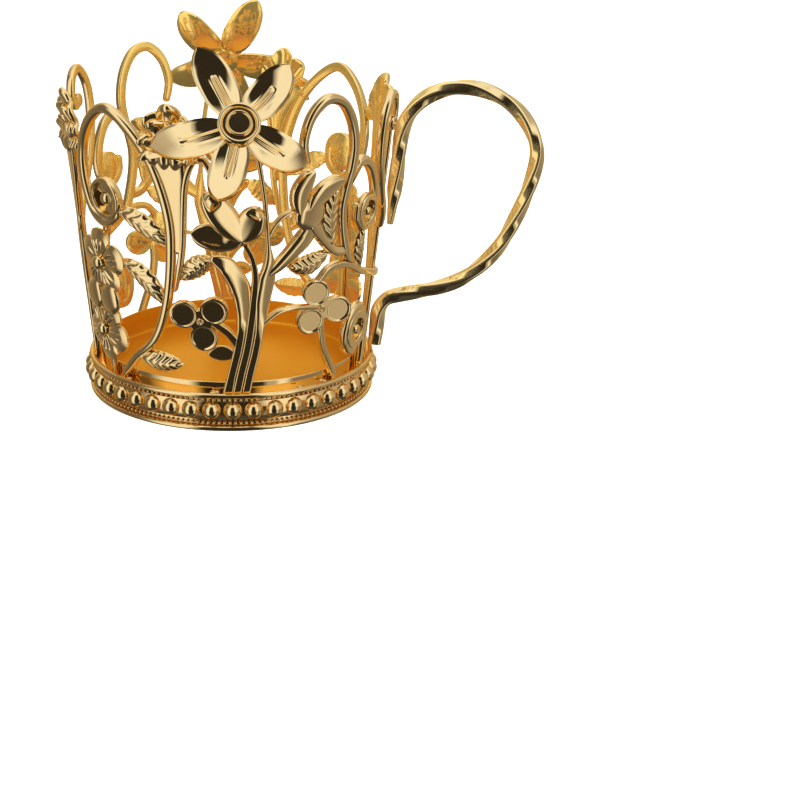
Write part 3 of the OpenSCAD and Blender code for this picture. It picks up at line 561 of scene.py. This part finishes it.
clover = dict(
    disc=3.2, reach=4.1, thick=1.9, recess=2.7, hollow=0.26, slope=0.035, fall=0.1, fallHalf=0.16, hub=2.8,
    out=0.3, sink=0.4,
    stud=dict(radius=0.85, foot=0.2, side=0.1, roll=0.26, rollRise=0.14, dip=0.56, dipRise=0.02, peak=0.2),
    left=(-11.5, 0.262), leftTurn=40, leftYaw=0, leftStem=[(-9.5, 0.262), (-6, 0.25), (-1.5, 0.22), (2.2, 0.176)],
    leftWidths=[(0, 1.3), (1, 2.0)], right=(35.3, 0.282), rightTurn=-8, rightYaw=-20,
    rightBranch=[(10.5, 0.236), (13.7, 0.266), (18.4, 0.29)], rightEnds=(1.6, 0.3),
    rightFoot=[(36, 0.264), (36.2, 0.2), (38.3, 0.13), (42.6, 0.06), (46.5, 0)])

tw = stems["trunkWidth"]
addPair("stem_leaf", [
    strip(leafLine, stems["leafWidths"], sd, between(flat, crowned, *stems["leafCrown"]),
          start=ledgePlane, roll=stems["leafRoll"]),
    strip(smoothLine(stems["plainLeaf"], 20), lens(stems["plainLeafWidth"]), leaves["edge"], flat)])
addPair("stem_lotus", [
    strip(lotusLine, [(0, tw), (0.5, tw), (1, stems["twig"])], sd, flat, start=ledgePlane,
          end=spotPlane(lotus["place"], lotus["bead"], lotusLine[-12]))])
addPair("stem_flower", [
    strip(flowerLine, stems["flowerWidths"], sd, between(flat, crowned, *stems["flowerCrown"]),
          start=ledgePlane, end=flowerBack, roll=stems["flowerRoll"])])
addPair("stem_tulip", [
    strip(smoothLine(tulip["stem"]), tulip["stemWidths"], tulip["stemDepths"], rounded, roll=tulip["stemRoll"])])
topDisc = around(clover["right"], clover["reach"], clover["rightTurn"] + 120)
addPair("stem_sweep", [
    strip(sweepLine, sw, sd, start=spotPlane(topDisc, clover["disc"] - clover["sink"], sweepLine[7]),
          end=sidePlane(postLine, scrolls["postWidth"] / 2, sweepLine[-1], sweepLine[40]))])
addPair("stem_blossom", [
    strip(blossomLine, stems["blossomWidth"], stems["blossomDepth"], out=stems["blossomOut"], start=ledgePlane,
          end=sidePlane(largeLine, w / 2, blossomLine[-1], blossomLine[13]))])
print("stems built")

# side blossoms, carnations, lotus, tulip and clovers
blossomBack = stems["blossomOut"] + stems["blossomDepth"] / 2 + flowers["gap"]


def oval(place, out, size, turn=0.0, rows=17, sides=32):
    return turned(ballPoints(1, rows), sides,
                  wallPlace(place, out) @ Matrix.Rotation(radians(turn), 4, "Y") @ Matrix.Diagonal((*size, 1)))


# five broad petals in one plate, with folds between them and three fine ribs on each
def blossom(spot, turn):
    f = flowers
    depth = f["blossomDepth"]
    degrees = np.linspace(0, 360, 240, endpoint=False)
    aside = (degrees - turn + 36) % 72 - 36
    lobe = np.clip(np.cos(np.radians(2.5 * aside)), 0, 1)
    edge = f["blossomReach"] * (f["valley"] + f["bulge"] * lobe ** 0.5)
    ribs = f["rib"] * sum(np.exp(-((aside - k) / f["ribHalf"]) ** 2) for k in f["ribTurns"])
    rings = []
    for s in np.linspace(0.06, 1, 26):
        dome = f["swell"] * sin(pi * (0.12 + 0.74 * s)) * lobe ** 0.6
        swell = f["level"] + dome - f["droop"] * max(0, s - 0.8) / 0.2
        out = blossomBack + depth * swell + ribs * exp(-((s - 0.52) / 0.2) ** 4)
        rings.append([onWall(around(spot, e * s, d), z) for e, d, z in zip(edge, degrees, out)])
    for s, z in ((1.0, f["rim"]), (0.96, 0.0), (0.06, 0.0)):
        rings.append([onWall(around(spot, e * s, d), blossomBack + z) for e, d in zip(edge, degrees)])
    core, foot = f["core"], depth * f["coreFoot"]
    coreLine = [(0, 0), (core, 0), (core, foot)] + domePoints(core, foot, f["coreRise"] * core, 6, 8)
    return [skin(rings), turned(coreLine, 32, wallPlace(spot, blossomBack))]


addPair("blossom_upper", blossom(flowers["upper"], flowers["upperTurn"]))
buds = []
for spot in flowers["buds"]:
    buds.append(oval(spot, blossomBack + flowers["budOut"], flowers["budSize"]))
    buds.append(strip([flowers["lower"], spot], stems["twig"], flowers["blossomDepth"],
                      out=blossomBack + flowers["blossomDepth"] / 2, tips=(False, False)))
addPair("blossom_lower", blossom(flowers["lower"], flowers["lowerTurn"]) + buds)

carnation = dict(
    cup=(0.5, 0.83), lap=0.3, span=(-16, 212), hookTop=0.74, mid=(-20.6, 0.852), side=(-72.5, 0.83), thick=1.2,
    fans=[dict(at=(0.2, -1.6), wide=6.9, tall=10.9, lobes=6, out=0.0, pleat=0.8),
          dict(at=(0, -1.8), wide=6.5, tall=8.0, lobes=5, out=1.0, pleat=0.9),
          dict(at=(0.3, -2.0), wide=5.8, tall=5.2, lobes=4, out=1.8, pleat=0.8)],
    collar=dict(at=(0.2, -3.0), half=5.0, tall=1.7, lobes=3, out=0.7, bow=0.9), knob=1.4, hang=0.5, rim=0.45,
    sideWidths=[(0, 1.8), (0.25, 2.4), (0.5, 4.4), (0.75, 4.4), (1, 2.6)],
    sideStem=[(-84, 0), (-84, 0.101), (-83, 0.246), (-79.5, 0.391), (-74.5, 0.52)],
    sideTrumpet=[(-75, 0.48), (-73.4, 0.64), (-72.5, 0.84)], neck=3.0, mouth=7.5, sideRelief=0.5)


# a ruffled band across the bloom: round knobs with tight folds between, longer on their lower side
def ruffle(spot, row):
    c, rings = carnation, []
    v = np.linspace(1, -1, 17)
    for t in np.linspace(-1, 1, 141):
        phase = pi * row["lobes"] * (t + 1) / 2
        lobe = abs(sin(phase + 1.7 * row["at"][1] + 0.5 * sin(3 * t))) ** 0.8
        ends = sqrt(max(1 - t ** 8, 0.02))
        tall = row["tall"] * ends * (0.78 + 0.22 * lobe)
        right, up = row["at"][0] + row["half"] * t, row["at"][1] + row["bow"] * t * t
        front = c["knob"] * np.sqrt(1 - 0.94 * v * v) * (0.45 + 0.55 * lobe)
        drop = up + tall * v - c["hang"] * row["tall"] * lobe * np.clip(-v, 0, 1)
        ring = [onWall(moved(spot, right, y), row["out"] + z * ends) for y, z in zip(drop, front)]
        back = [onWall(moved(spot, right, up + tall * k), row["out"] - c["thick"] * ends * z)
                for k, z in ((-0.8, 0.5), (-0.4, 1), (0.4, 1), (0.8, 0.5))]
        rings.append(ring + back)
    return skin(rings)


# a pleated fan of petals with a thick wavy rim
def fan(spot, row):
    c, rings = carnation, []
    centre = moved(spot, *row["at"])
    for t in np.linspace(0, 1, 145):
        degrees = c["span"][0] + c["span"][1] * t
        turn = radians(degrees)
        phase = 2 * pi * row["lobes"] * t + 0.7 * sin(5 * t + row["out"])
        wave, knob = cos(phase), abs(cos(phase / 2)) ** 0.6
        ovalReach = row["wide"] * row["tall"] / hypot(row["tall"] * cos(turn), row["wide"] * sin(turn))
        reach = ovalReach * (0.86 + 0.14 * knob)
        over = [(s, 0.5 * c["thick"] + row["pleat"] * wave * s * s + c["rim"] * knob * exp(-((s - 0.88) / 0.1) ** 2))
                for s in np.linspace(0.12, 0.97, 19)]
        edge = [(1.0, 0.2 * c["thick"] + row["pleat"] * wave), (1.0, -0.2 * c["thick"] + row["pleat"] * wave)]
        under = [(s, -0.5 * c["thick"] + row["pleat"] * wave * s * s) for s in np.linspace(0.97, 0.12, 9)]
        rings.append([onWall(around(centre, reach * s, degrees), row["out"] + z) for s, z in over + edge + under])
    return skin(rings)


def frill(spot, relief=1.0):
    fans = [dict(row, out=row["out"] * relief, pleat=row["pleat"] * relief) for row in carnation["fans"]]
    return [fan(spot, row) for row in fans] + [ruffle(spot, carnation["collar"])]


limb, rise = largeLine[:71], hookLine[:61]  # the parts that go up
cupShares = np.linspace(*carnation["cup"], 30)
cupEdges = []
for share in cupShares:
    left = moved((angleAt(limb, share), share), w / 2, 0)[0]
    right = moved((angleAt(rise, min(share, carnation["hookTop"])), share), carnation["lap"], 0)[0]
    cupEdges.append((left, right))
cupLine = [((a + b) / 2, s) for (a, b), s in zip(cupEdges, cupShares)]
cupWidths = [(i / (len(cupLine) - 1), radians(b - a) * wallRadius(s))
             for i, ((a, b), s) in enumerate(zip(cupEdges, cupShares))]
addPair("carnation_mid", [
    strip(cupLine, cupWidths, sd, flat),
    strip(hookLine, [(0, leaves["tip"]), (0.2, leaves["hookWidth"]), (1, leaves["hookWidth"])], sd),
    *frill(carnation["mid"])])
addPair("carnation_side", [
    strip(smoothLine(carnation["sideStem"]), carnation["sideWidths"], sd, start=ledgePlane),
    strip(smoothLine(carnation["sideTrumpet"], 16),
          [(0, sw), (0.4, carnation["neck"]), (1, carnation["mouth"])], sd, flat),
    *frill(carnation["side"], carnation["sideRelief"])])

lotusShells = [oval(lotus["place"], 0.0, (lotus["bead"],) * 3, rows=15, sides=28)]
for tip, roll, hollow in lotus["petals"]:
    middle = ((lotus["place"][0] + tip[0]) / 2, (lotus["place"][1] + tip[1]) / 2)
    line = smoothLine([lotus["place"], middle, tip], 24)
    lotusShells.append(strip(line, lens(lotus["width"], lotus["blunt"]), lotus["depth"], spoon(*hollow),
                             out=lotus["out"], roll=roll))
addPair("lotus", lotusShells)

twigLine = smoothLine(tulip["twig"])
tulipShells = [
    oval(tulip["cup"], tulip["cupOut"], tulip["cupSize"], tulip["cupTurn"], rows=25, sides=40),
    leaf(tulip["leaf"], tulip["leafWidth"]),
    strip(crossLine, tulip["crossWidths"], sd, roll=tulip["crossRoll"],
          end=sidePlane(tallLine, w / 2, crossLine[-1], crossLine[13])),
    strip(twigLine, stems["twig"], leaves["depth"],
          start=sidePlane(flowerLine, stems["twig"] / 2, twigLine[0], twigLine[13]))]
for places in tulip["petals"]:
    tulipShells.append(strip(smoothLine(places, 18), lens(tulip["petalWidth"], tulip["blunt"]), tulip["petalDepth"],
                             rounded, out=tulip["petalOut"], roll=tulip["petalRoll"]))
addPair("tulip", tulipShells)


# a flat plate of three joined discs, each with a shallow round recess
def cloverShells(hub, turn, yaw):
    c = clover
    top, count = c["thick"] / 2, 220
    bow = np.linspace(0, 2 * pi, count, endpoint=False)
    way = np.stack([np.cos(bow), np.sin(bow)], 1)
    spots = [c["reach"] * np.array([cos(a), sin(a)]) for a in np.radians([turn, turn + 120, turn + 240])]
    edge = np.full(count, c["hub"])
    for spot in spots:
        along = way @ spot
        room = c["disc"] ** 2 - c["reach"] ** 2 + along ** 2
        edge = np.maximum(edge, np.where((room > 0) & (along > 0), along + np.sqrt(np.maximum(room, 0)), 0))
    place = wallPlace(hub, c["out"]) @ Matrix.Rotation(radians(yaw), 4, "Y")
    rings = []
    for inset in list(np.linspace(1, 0, 52)[:-1] ** 0.8) + [0.0]:
        at = way * (edge * (1 - inset))[:, None]
        near = np.min([np.linalg.norm(at - spot, axis=1) for spot in spots], axis=0)
        sunk = 1 / (1 + np.exp((near - c["recess"]) / c["slope"]))
        fall = c["fall"] * np.clip(1 - inset * edge / c["fallHalf"], 0, 1) ** 2
        rings.append(np.column_stack([at, top - c["hollow"] * sunk - fall]))
    for scale, z in ((1.0, -top + 0.2), (0.97, -top), (0.0, -top)):
        rings.append(np.column_stack([way * (edge * scale)[:, None], np.full(count, z)]))
    plate = skin([[place @ Vector(v) for v in ring] for ring in rings])
    u = c["stud"]
    r = u["radius"]
    stud = [(0, top - u["foot"]), (r, top - u["foot"]), (r, top + u["side"])]
    stud += arcPoints(r - u["roll"], top + u["rollRise"], u["roll"], 0, 180, 9)
    stud += [(r - u["dip"], top + u["dipRise"]), (0, top + u["peak"])]
    return [plate, turned(stud, 32, place)]


leftStem = smoothLine(clover["leftStem"])
addPair("clover_left", cloverShells(clover["left"], clover["leftTurn"], clover["leftYaw"]) + [
    strip(leftStem, clover["leftWidths"], sd, flat, end=sidePlane(leafLine, sw / 2, leftStem[-1], leftStem[17]))])
branchEnds = [around(clover["right"], clover["reach"] * s, clover["rightTurn"] + 180) for s in clover["rightEnds"]]
rightBranch = smoothLine(clover["rightBranch"] + branchEnds)
addPair("clover_right", cloverShells(clover["right"], clover["rightTurn"], clover["rightYaw"]) + [
    strip(rightBranch, stems["twig"], sd, start=sidePlane(flowerLine, sw / 2, rightBranch[0], rightBranch[17])),
    strip(smoothLine(clover["rightFoot"]), sw, sd, end=ledgePlane)])
print("blooms built")


# the big flower, along its own axis
def petal(k, sway, stretch, roll):
    b = bigFlower
    place = (flowerPlace @ Matrix.Rotation(radians(b["turn"] + 72 * k + sway), 4, "Z")
             @ Matrix.Translation((b["start"], 0, b["lift"])) @ Matrix.Rotation(-radians(b["lean"]), 4, "Y")
             @ Matrix.Rotation(radians(roll), 4, "X"))
    sag = b["dish"] - sqrt(b["dish"] ** 2 - b["length"] ** 2 / 4)
    dish = lambda x, y: b["dish"] - sqrt(b["dish"] ** 2 - x * x - y * y)
    rings = []
    for t in np.linspace(0, 1, 61):
        x = b["length"] * (t - 0.5)
        half = max(0.12, b["width"] / 2 * (1 - abs(2 * t - 1) ** 2.6) ** 0.66)
        ends = sqrt(min(1, max(0, (b["ribLength"] - t) / b["ribEnd"])))  # the rib has a round end
        ring = []
        for u in np.linspace(1, -1, 41):
            y = u * half
            ridge = b["ribHeight"] * exp(-(y / b["ribWidth"]) ** 4)
            groove = b["ribGroove"] * exp(-((abs(y) - 2.1 * b["ribWidth"]) / b["grooveHalf"]) ** 2)
            lip = b["rim"] * exp(-((abs(u) - 1) * half / b["rimHalf"]) ** 2) * min(1, half)
            ring.append((x, y, dish(x, y) + ends * (ridge - groove) + lip))
        for u in np.linspace(-1, 1, 21):
            ring.append((x, u * half, dish(x, u * half) - b["thick"] * (1 - 0.35 * abs(u) ** 6)))
        rings.append([place @ Vector(((px + b["length"] / 2) * stretch, py, pz - sag)) for px, py, pz in ring])
    return skin(rings)


b = bigFlower
hub = [(0, -b["hubBack"]), (b["hub"] - b["hubSoft"], -b["hubBack"]), (b["hub"], -b["hubBack"] + b["hubSoft"]),
       (b["hub"], b["hubFront"]), (0, b["hubFront"])]
addPair("flower", [petal(k, *way) for k, way in enumerate(b["petals"])] + [turned(hub, 48, flowerPlace)], "giltFlower")
boss = dict(radius=4.65, soft=0.1, side=0.5, ring=0.55, ringRise=0.75, gutter=1.15, gutterRise=0.55,
            disc=2.85, discFoot=0.1, discEdge=0.3, discRise=1.2, dip=0.65, top=1.15)
r, z0 = boss["radius"], b["hubFront"]
bossLine = [(0, z0), (r - boss["soft"], z0), (r, z0 + boss["soft"]), (r, z0 + boss["side"])]
bossLine += arcPoints(r - boss["ring"], z0 + boss["ringRise"], boss["ring"], 0, 180, 13)
bossLine += [(r - boss["gutter"], z0 + boss["gutterRise"]), (boss["disc"] + boss["discFoot"], z0 + boss["gutterRise"])]
bossLine += arcPoints(boss["disc"] - boss["discEdge"], z0 + boss["discRise"], boss["discEdge"], 0, 150, 8)
bossLine += [(boss["disc"] - boss["dip"], z0 + boss["top"]), (0, z0 + boss["top"])]
addPair("flower_boss", [turned(bossLine, 64, flowerPlace)], "giltFlower")
print("big flowers built")

# the base: a spun pan, a band and a beaded wire
base = dict(
    bore=32.0, corner=0.9, collarIn=31.7, collarOut=32.1, collarTop=11.1, drawn=(1.2, 0.4), pan=1.0, raised=3.6,
    top=9.0, bend=0.5, ledge=34.6, roll=0.65, rollDrop=0.5, rollIn=(0.75, 0.8), bandIn=33.15, bandOut=34.0, bandLow=1.3,
    bandTop=7.7, soft=0.1, sides=240,
    pearl=4.4, pearlCount=44, pearlRing=34.25, pearlHeight=4.9, pearlMesh=(24, 16),
    wireIn=34.15, wireOut=34.6, wireHalf=2.35, wireSoft=0.2,
    grain=0.4, grainCount=170, grainMesh=(8, 5), grainRows=[(34.5, 7.56), (34.5, 1.72)])
q = base
bore, raised, top, ledge = (q[name] for name in ("bore", "raised", "top", "ledge"))
floorTop, collarEdge = raised + q["pan"], (q["collarOut"] - q["collarIn"]) / 2
outside = bore + q["pan"]
pan = [(r, floorTop) for r in (0, 10, 20, 28)]
pan += arcPoints(bore - q["corner"], floorTop + q["corner"], q["corner"], -90, 0, 7)
pan += [(bore, top - q["drawn"][0]), (q["collarIn"], top - q["drawn"][1])]
pan += arcPoints((q["collarIn"] + q["collarOut"]) / 2, q["collarTop"] - collarEdge, collarEdge, 180, 0, 9)
pan += [(q["collarOut"], top), (ledge - q["rollIn"][0], top)]
pan += arcPoints(ledge, top - q["rollDrop"], q["roll"], 130, -130, 25)
pan += [(ledge - q["rollIn"][1], top - q["pan"]), (outside, top - q["pan"]),
        (outside, raised + q["bend"]), (bore + q["bend"], raised), (0, raised)]
addPiece("base_pan_gilt", [turned(pan, q["sides"])], "giltBase", ["base_pan"], insideFloor=True)
band = [(q["bandIn"], q["soft"]), (q["bandIn"] + q["soft"], 0)]
band += [(x, max(z, 0)) for x, z in arcPoints(ledge, q["rollDrop"], q["roll"], -50, 150, 21)]
band += [(q["bandOut"], q["bandLow"]), (q["bandOut"], q["bandTop"] - q["soft"]),
         (q["bandOut"] - q["soft"], q["bandTop"]), (q["bandIn"], q["bandTop"])]
addPiece("base_band_gilt", [turned(band, q["sides"])], "giltBase", ["base_band"])


def nodeTree(name, inputs):
    tree = bpy.data.node_groups.new(name, "GeometryNodeTree")
    sockets = {}
    for title, kind in inputs.items():
        sockets[title] = tree.interface.new_socket(title, in_out="INPUT", socket_type="NodeSocket" + kind).identifier
    tree.interface.new_socket("Geometry", in_out="OUTPUT", socket_type="NodeSocketGeometry")
    bench = Bench(tree)
    given = bench.add("NodeGroupInput")
    return bench, sockets, {title: bench.out(given, title) for title in inputs}


def coated(bench, shape, finish):
    coat = bench.add("GeometryNodeSetMaterial", Geometry=shape.outputs[0], Material=finish)
    bench.feed(bench.add("NodeGroupOutput").inputs[0], coat.outputs[0])
    return bench.tree


def beadRow():
    bench, sockets, given = nodeTree("beadRow", {
        "Count": "Int", "Ring Radius": "Float", "Bead Radius": "Float", "Height": "Float", "Sides": "Int",
        "Rows": "Int", "Finish": "Material"})
    ring = bench.add("GeometryNodeMeshCircle", Vertices=given["Count"], Radius=given["Ring Radius"])
    up = bench.add("ShaderNodeCombineXYZ", Z=given["Height"])
    lift = bench.add("GeometryNodeTransform", Geometry=ring.outputs[0], Translation=up.outputs[0])
    bead = bench.add("GeometryNodeMeshUVSphere", Segments=given["Sides"], Rings=given["Rows"],
                     Radius=given["Bead Radius"])
    copies = bench.add("GeometryNodeInstanceOnPoints", Points=lift.outputs[0], Instance=bead.outputs[0])
    real = bench.add("GeometryNodeRealizeInstances", Geometry=copies.outputs[0])
    return coated(bench, real, given["Finish"]), sockets


# the points, in mm, and faces that a node tree makes of some data
def grown(name, data, tree, sockets, values):
    carrier = placed(name, data)
    modifier = carrier.modifiers.new("grow", "NODES")
    modifier.node_group = tree
    for title, value in values.items():
        modifier[sockets[title]] = value
    bpy.context.view_layer.update()
    mesh = bpy.data.meshes.new_from_object(carrier.evaluated_get(bpy.context.evaluated_depsgraph_get()))
    bpy.data.objects.remove(carrier)
    return vertexRows(mesh, "co") / mm, [tuple(f.vertices) for f in mesh.polygons]


beadTree, beadSockets = beadRow()


def beads(count, ring, radius, height, sides, rows):
    return grown("beads", bpy.data.meshes.new("beads"), beadTree, beadSockets, {
        "Count": count, "Ring Radius": ring * mm, "Bead Radius": radius * mm, "Height": height * mm,
        "Sides": sides, "Rows": rows, "Finish": gilt["giltBase"]})


pearlVerts, pearlFaces = beads(q["pearlCount"], q["pearlRing"], q["pearl"] / 2, q["pearlHeight"], *q["pearlMesh"])
reach = np.hypot(pearlVerts[:, 0], pearlVerts[:, 1])
pearlVerts[:, :2] *= (np.maximum(reach, q["wireIn"]) / reach)[:, None]  # flat backs against the band
under, over, soft = q["pearlHeight"] - q["wireHalf"], q["pearlHeight"] + q["wireHalf"], q["wireSoft"]
wire = [(q["wireIn"], under), (q["wireOut"] - soft, under), (q["wireOut"], under + soft), (q["wireOut"], over - soft),
        (q["wireOut"] - soft, over), (q["wireIn"], over)]
addPiece("bead_wire_gilt", [(pearlVerts, pearlFaces), turned(wire, q["sides"])], "giltBase", ["bead_wire"])
grains = [beads(q["grainCount"], radius, q["grain"], height, *q["grainMesh"]) for radius, height in q["grainRows"]]
addPiece("grain_rows_gilt", grains, "giltBase", [])
print("base built")

# the handle: a square bar, twisted and bent into an ear
bar = dict(
    side=3.35, corner=1.05, cornerSteps=7, startTurn=45, pitch=48.0, reach=34.0, rise=52.6, foot=21.6,
    tip=0.4, taper=14.0, steps=14, gap=0.05,
    line=[(0, 0.36), (0, 0.58), (0, 0.8), (0.06, 0.905), (0.17, 0.968), (0.32, 1), (0.48, 1), (0.63, 0.972),
          (0.78, 0.915), (0.9, 0.835), (0.98, 0.74), (1, 0.65), (0.97, 0.52), (0.91, 0.385), (0.83, 0.26),
          (0.72, 0.165), (0.58, 0.092), (0.42, 0.05), (0.26, 0.028), (0.13, 0.012), (0.045, -0.008), (0, -0.06),
          (0, -0.14), (0, -0.23)])
barOut = scrolls["postOut"] + scrolls["postDepth"] / 2 + bar["gap"] + bar["side"] * sqrt(2) / 2
barPoints = []
for reach, share in smoothLine(bar["line"], bar["steps"]):
    z = bar["foot"] + bar["rise"] * share
    barPoints.append((wallRadius((z - wall["ledge"]) / wall["rise"]) + barOut + bar["reach"] * reach, 0.0, z))


def twistedBar():
    bench, sockets, given = nodeTree("twistedBar", {
        "Geometry": "Geometry", "Side": "Float", "Corner": "Float", "Pitch": "Float", "Tip Share": "Float",
        "Taper": "Float", "Start Turn": "Float", "Finish": "Material"})
    length = bench.out(bench.add("GeometryNodeSplineParameter"), "Length")
    thick = (length / given["Taper"] + given["Tip Share"]).sum("MINIMUM", 1.0)
    turn = length / given["Pitch"] * (2 * pi) + given["Start Turn"]
    tilt = bench.add("GeometryNodeSetCurveTilt", Curve=given["Geometry"], Tilt=turn)
    square = bench.add("GeometryNodeCurvePrimitiveQuadrilateral", Width=given["Side"], Height=given["Side"])
    fillet = bench.add("GeometryNodeFilletCurve", dict(mode="POLY"), Curve=square.outputs[0], Count=bar["cornerSteps"],
                       Radius=given["Corner"])
    body = bench.add("GeometryNodeCurveToMesh", Curve=tilt.outputs[0], Profile_Curve=fillet.outputs[0], Scale=thick,
                     Fill_Caps=True)
    return coated(bench, body, given["Finish"]), sockets


path = bpy.data.curves.new("barPath", "CURVE")
path.dimensions = "3D"
spline = path.splines.new("POLY")
spline.points.add(len(barPoints) - 1)
spline.points.foreach_set("co", np.hstack([np.array(barPoints) * mm, np.ones((len(barPoints), 1))]).ravel())
barTree, barSockets = twistedBar()
barShell = grown("barPath", path, barTree, barSockets, {
    "Side": bar["side"] * mm, "Corner": bar["corner"] * mm, "Pitch": bar["pitch"] * mm, "Tip Share": bar["tip"],
    "Taper": bar["taper"] * mm, "Start Turn": radians(bar["startTurn"]), "Finish": gilt["giltHandle"]})
addPiece("handle_gilt", [barShell], "giltHandle", ["handle"])
print("handle built")

# solder left at the feet of the wall
lumps = dict(
    seed=4, each=3, size=(0.2, 0.34), drift=2.2, ring=33.2, spread=(-0.3, 0.7), flatten=(0.5, 0.8),
    # spots: degrees, size
    spots=[(-46, 2.2), (-9.5, 2.0), (-6.5, 1.6), (1.5, 2.2), (28, 1.5), (38, 2.4), (46, 2.2), (68.5, 2.0)])
rng = np.random.default_rng(lumps["seed"])
blobs = []
for flip in halfTurns.values():
    for degrees, size in lumps["spots"]:
        for _ in range(lumps["each"]):
            r = size * rng.uniform(*lumps["size"])
            turn = radians(degrees + rng.uniform(-lumps["drift"], lumps["drift"]))
            radius = flip * (lumps["ring"] + rng.uniform(*lumps["spread"]))
            flatten = Matrix.Diagonal((1, 1, rng.uniform(*lumps["flatten"]), 1))
            place = Matrix.Translation((radius * sin(turn), -radius * cos(turn), wall["ledge"])) @ flatten
            blobs.append(turned(ballPoints(r, 9), 14, place))
addPiece("solder_lumps_gilt", blobs, "giltBase", [])
print("solder built")

# floor, studio and camera
studio = dict(
    floor=(0.92, 0.92, 0.92, 1), floorRough=0.8, floorHalf=6, glow=0.42, tint=(0.86, 0.72),
    under=0.07, seam=(-0.14, 0.06), roof=(0.74, 0.95), pit=(-0.62, -0.82),
    high=[(-180, 1.0), (-130, 0.36), (-95, 0.15), (-78, 0.18), (-60, 1.0), (-34, 1.0), (-24, 0.03), (18, 0.03),
          (28, 1.0), (50, 1.0), (66, 0.6), (90, 0.5), (130, 0.5), (180, 1.0)],
    low=[(-180, 0.6), (-130, 0.26), (-90, 0.15), (-76, 0.18), (-60, 0.95), (-38, 1.0), (-28, 0.03), (26, 0.03),
         (31, 0.5), (37, 0.5), (41, 1.0), (46, 1.0), (53, 0.26), (70, 0.24), (90, 0.3), (130, 0.4), (180, 0.6)],
    aim=(0, 0, 0.04),  # lamps: place, size, power
    lamps={"keySoftbox": ((-0.7, -0.7, 1.1), 0.5, 14.0), "fillSoftbox": ((0.9, -0.35, 0.8), 0.6, 6.0)})


def whiteFloor():
    material = bpy.data.materials.new("paleFloor")
    material.use_nodes = True
    bench = Bench(material.node_tree)
    path = bench.add("ShaderNodeLightPath")
    seen = bench.out(path, "Is Camera Ray").sum("MAXIMUM", bench.out(path, "Is Glossy Ray"))
    plain = bench.add("ShaderNodeBsdfPrincipled", Base_Color=studio["floor"], Roughness=studio["floorRough"])
    glow = bench.add("ShaderNodeEmission", Color=(1, 1, 1, 1), Strength=studio["glow"])
    both = bench.add("ShaderNodeAddShader")
    mix = bench.add("ShaderNodeMixShader", Fac=seen)
    result = bench.add("ShaderNodeOutputMaterial")
    for socket, shader in ((both.inputs[0], plain), (both.inputs[1], glow), (mix.inputs[1], plain),
                           (mix.inputs[2], both), (result.inputs[0], mix)):
        bench.feed(socket, shader.outputs[0])
    return material


floorMesh = bpy.data.meshes.new("floor")
h = studio["floorHalf"]
floorMesh.from_pydata([(-h, -h, 0), (h, -h, 0), (h, h, 0), (-h, h, 0)], [], [(0, 1, 2, 3)])
floorMesh.materials.append(whiteFloor())
floor = placed("floor", floorMesh)
floor.visible_glossy = False

world = bpy.data.worlds.new("studio")
scene.world = world
world.use_nodes = True
bench = Bench(world.node_tree)
way = bench.add("ShaderNodeSeparateXYZ", Vector=bench.add("ShaderNodeTexCoord").outputs["Generated"])
x, y, z = (bench.out(way, k) for k in "XYZ")
turnShare = x.sum("ARCTAN2", y * -1.0) / (2 * pi) + 0.5


def panels(name):
    green, blue = studio["tint"]
    warm = [(0.5 + a / 360, (v, v * (green + (1 - green) * v), v * (blue + (1 - blue) * v))) for a, v in studio[name]]
    return bench.add("ShaderNodeValToRGB", dict(stops=warm), Fac=turnShare).outputs[0]


def share(name):
    lo, hi = studio[name]
    smooth = dict(interpolation_type="SMOOTHSTEP")
    return bench.add("ShaderNodeMapRange", smooth, Value=z, From_Min=lo, From_Max=hi).outputs[0]


walls = bench.blend(share("seam"), panels("low"), panels("high"))
tent = bench.blend(share("pit"), bench.blend(share("roof"), walls, (1, 1, 1, 1)), (studio["under"],) * 3 + (1,))
glossy = bench.out(bench.add("ShaderNodeLightPath"), "Is Glossy Ray")
background = bench.add("ShaderNodeBackground", Color=bench.blend(glossy, (1, 1, 1, 1), tent), Strength=1.0)
bench.feed(bench.add("ShaderNodeOutputWorld").inputs[0], background.outputs[0])

for name, (place, size, power) in studio["lamps"].items():
    lamp = bpy.data.lights.new(name, "AREA")
    lamp.energy, lamp.size = power, size
    holder = placed(name, lamp)
    holder.location = place
    holder.rotation_euler = (Vector(studio["aim"]) - Vector(place)).to_track_quat("-Z", "Y").to_euler()
    holder.visible_glossy = False

eyePoint = dict(
    place=(0.0002, -0.39018, 0.14588), pan=6.228, tilt=21.167, roll=1.883, focal=1636.61, pixels=800, sensor=36.0,
    clip=(0.01, 50))
cameraData = bpy.data.cameras.new("camera")
cameraData.sensor_width = eyePoint["sensor"]
cameraData.lens = eyePoint["sensor"] * eyePoint["focal"] / eyePoint["pixels"]
cameraData.clip_start, cameraData.clip_end = eyePoint["clip"]
camera = placed("camera", cameraData)
pan, tilt, roll = (radians(eyePoint[k]) for k in ("pan", "tilt", "roll"))
ahead = Vector((sin(pan) * cos(tilt), cos(pan) * cos(tilt), -sin(tilt)))
right = ahead.cross(Vector((0, 0, 1))).normalized()
up = right.cross(ahead)
right, up = right * cos(roll) + up * sin(roll), up * cos(roll) - right * sin(roll)
camera.matrix_world = Matrix.Translation(eyePoint["place"]) @ Matrix((right, up, -ahead)).transposed().to_4x4()
scene.camera = camera
scene.view_settings.view_transform = "Standard"

print("scene ready")
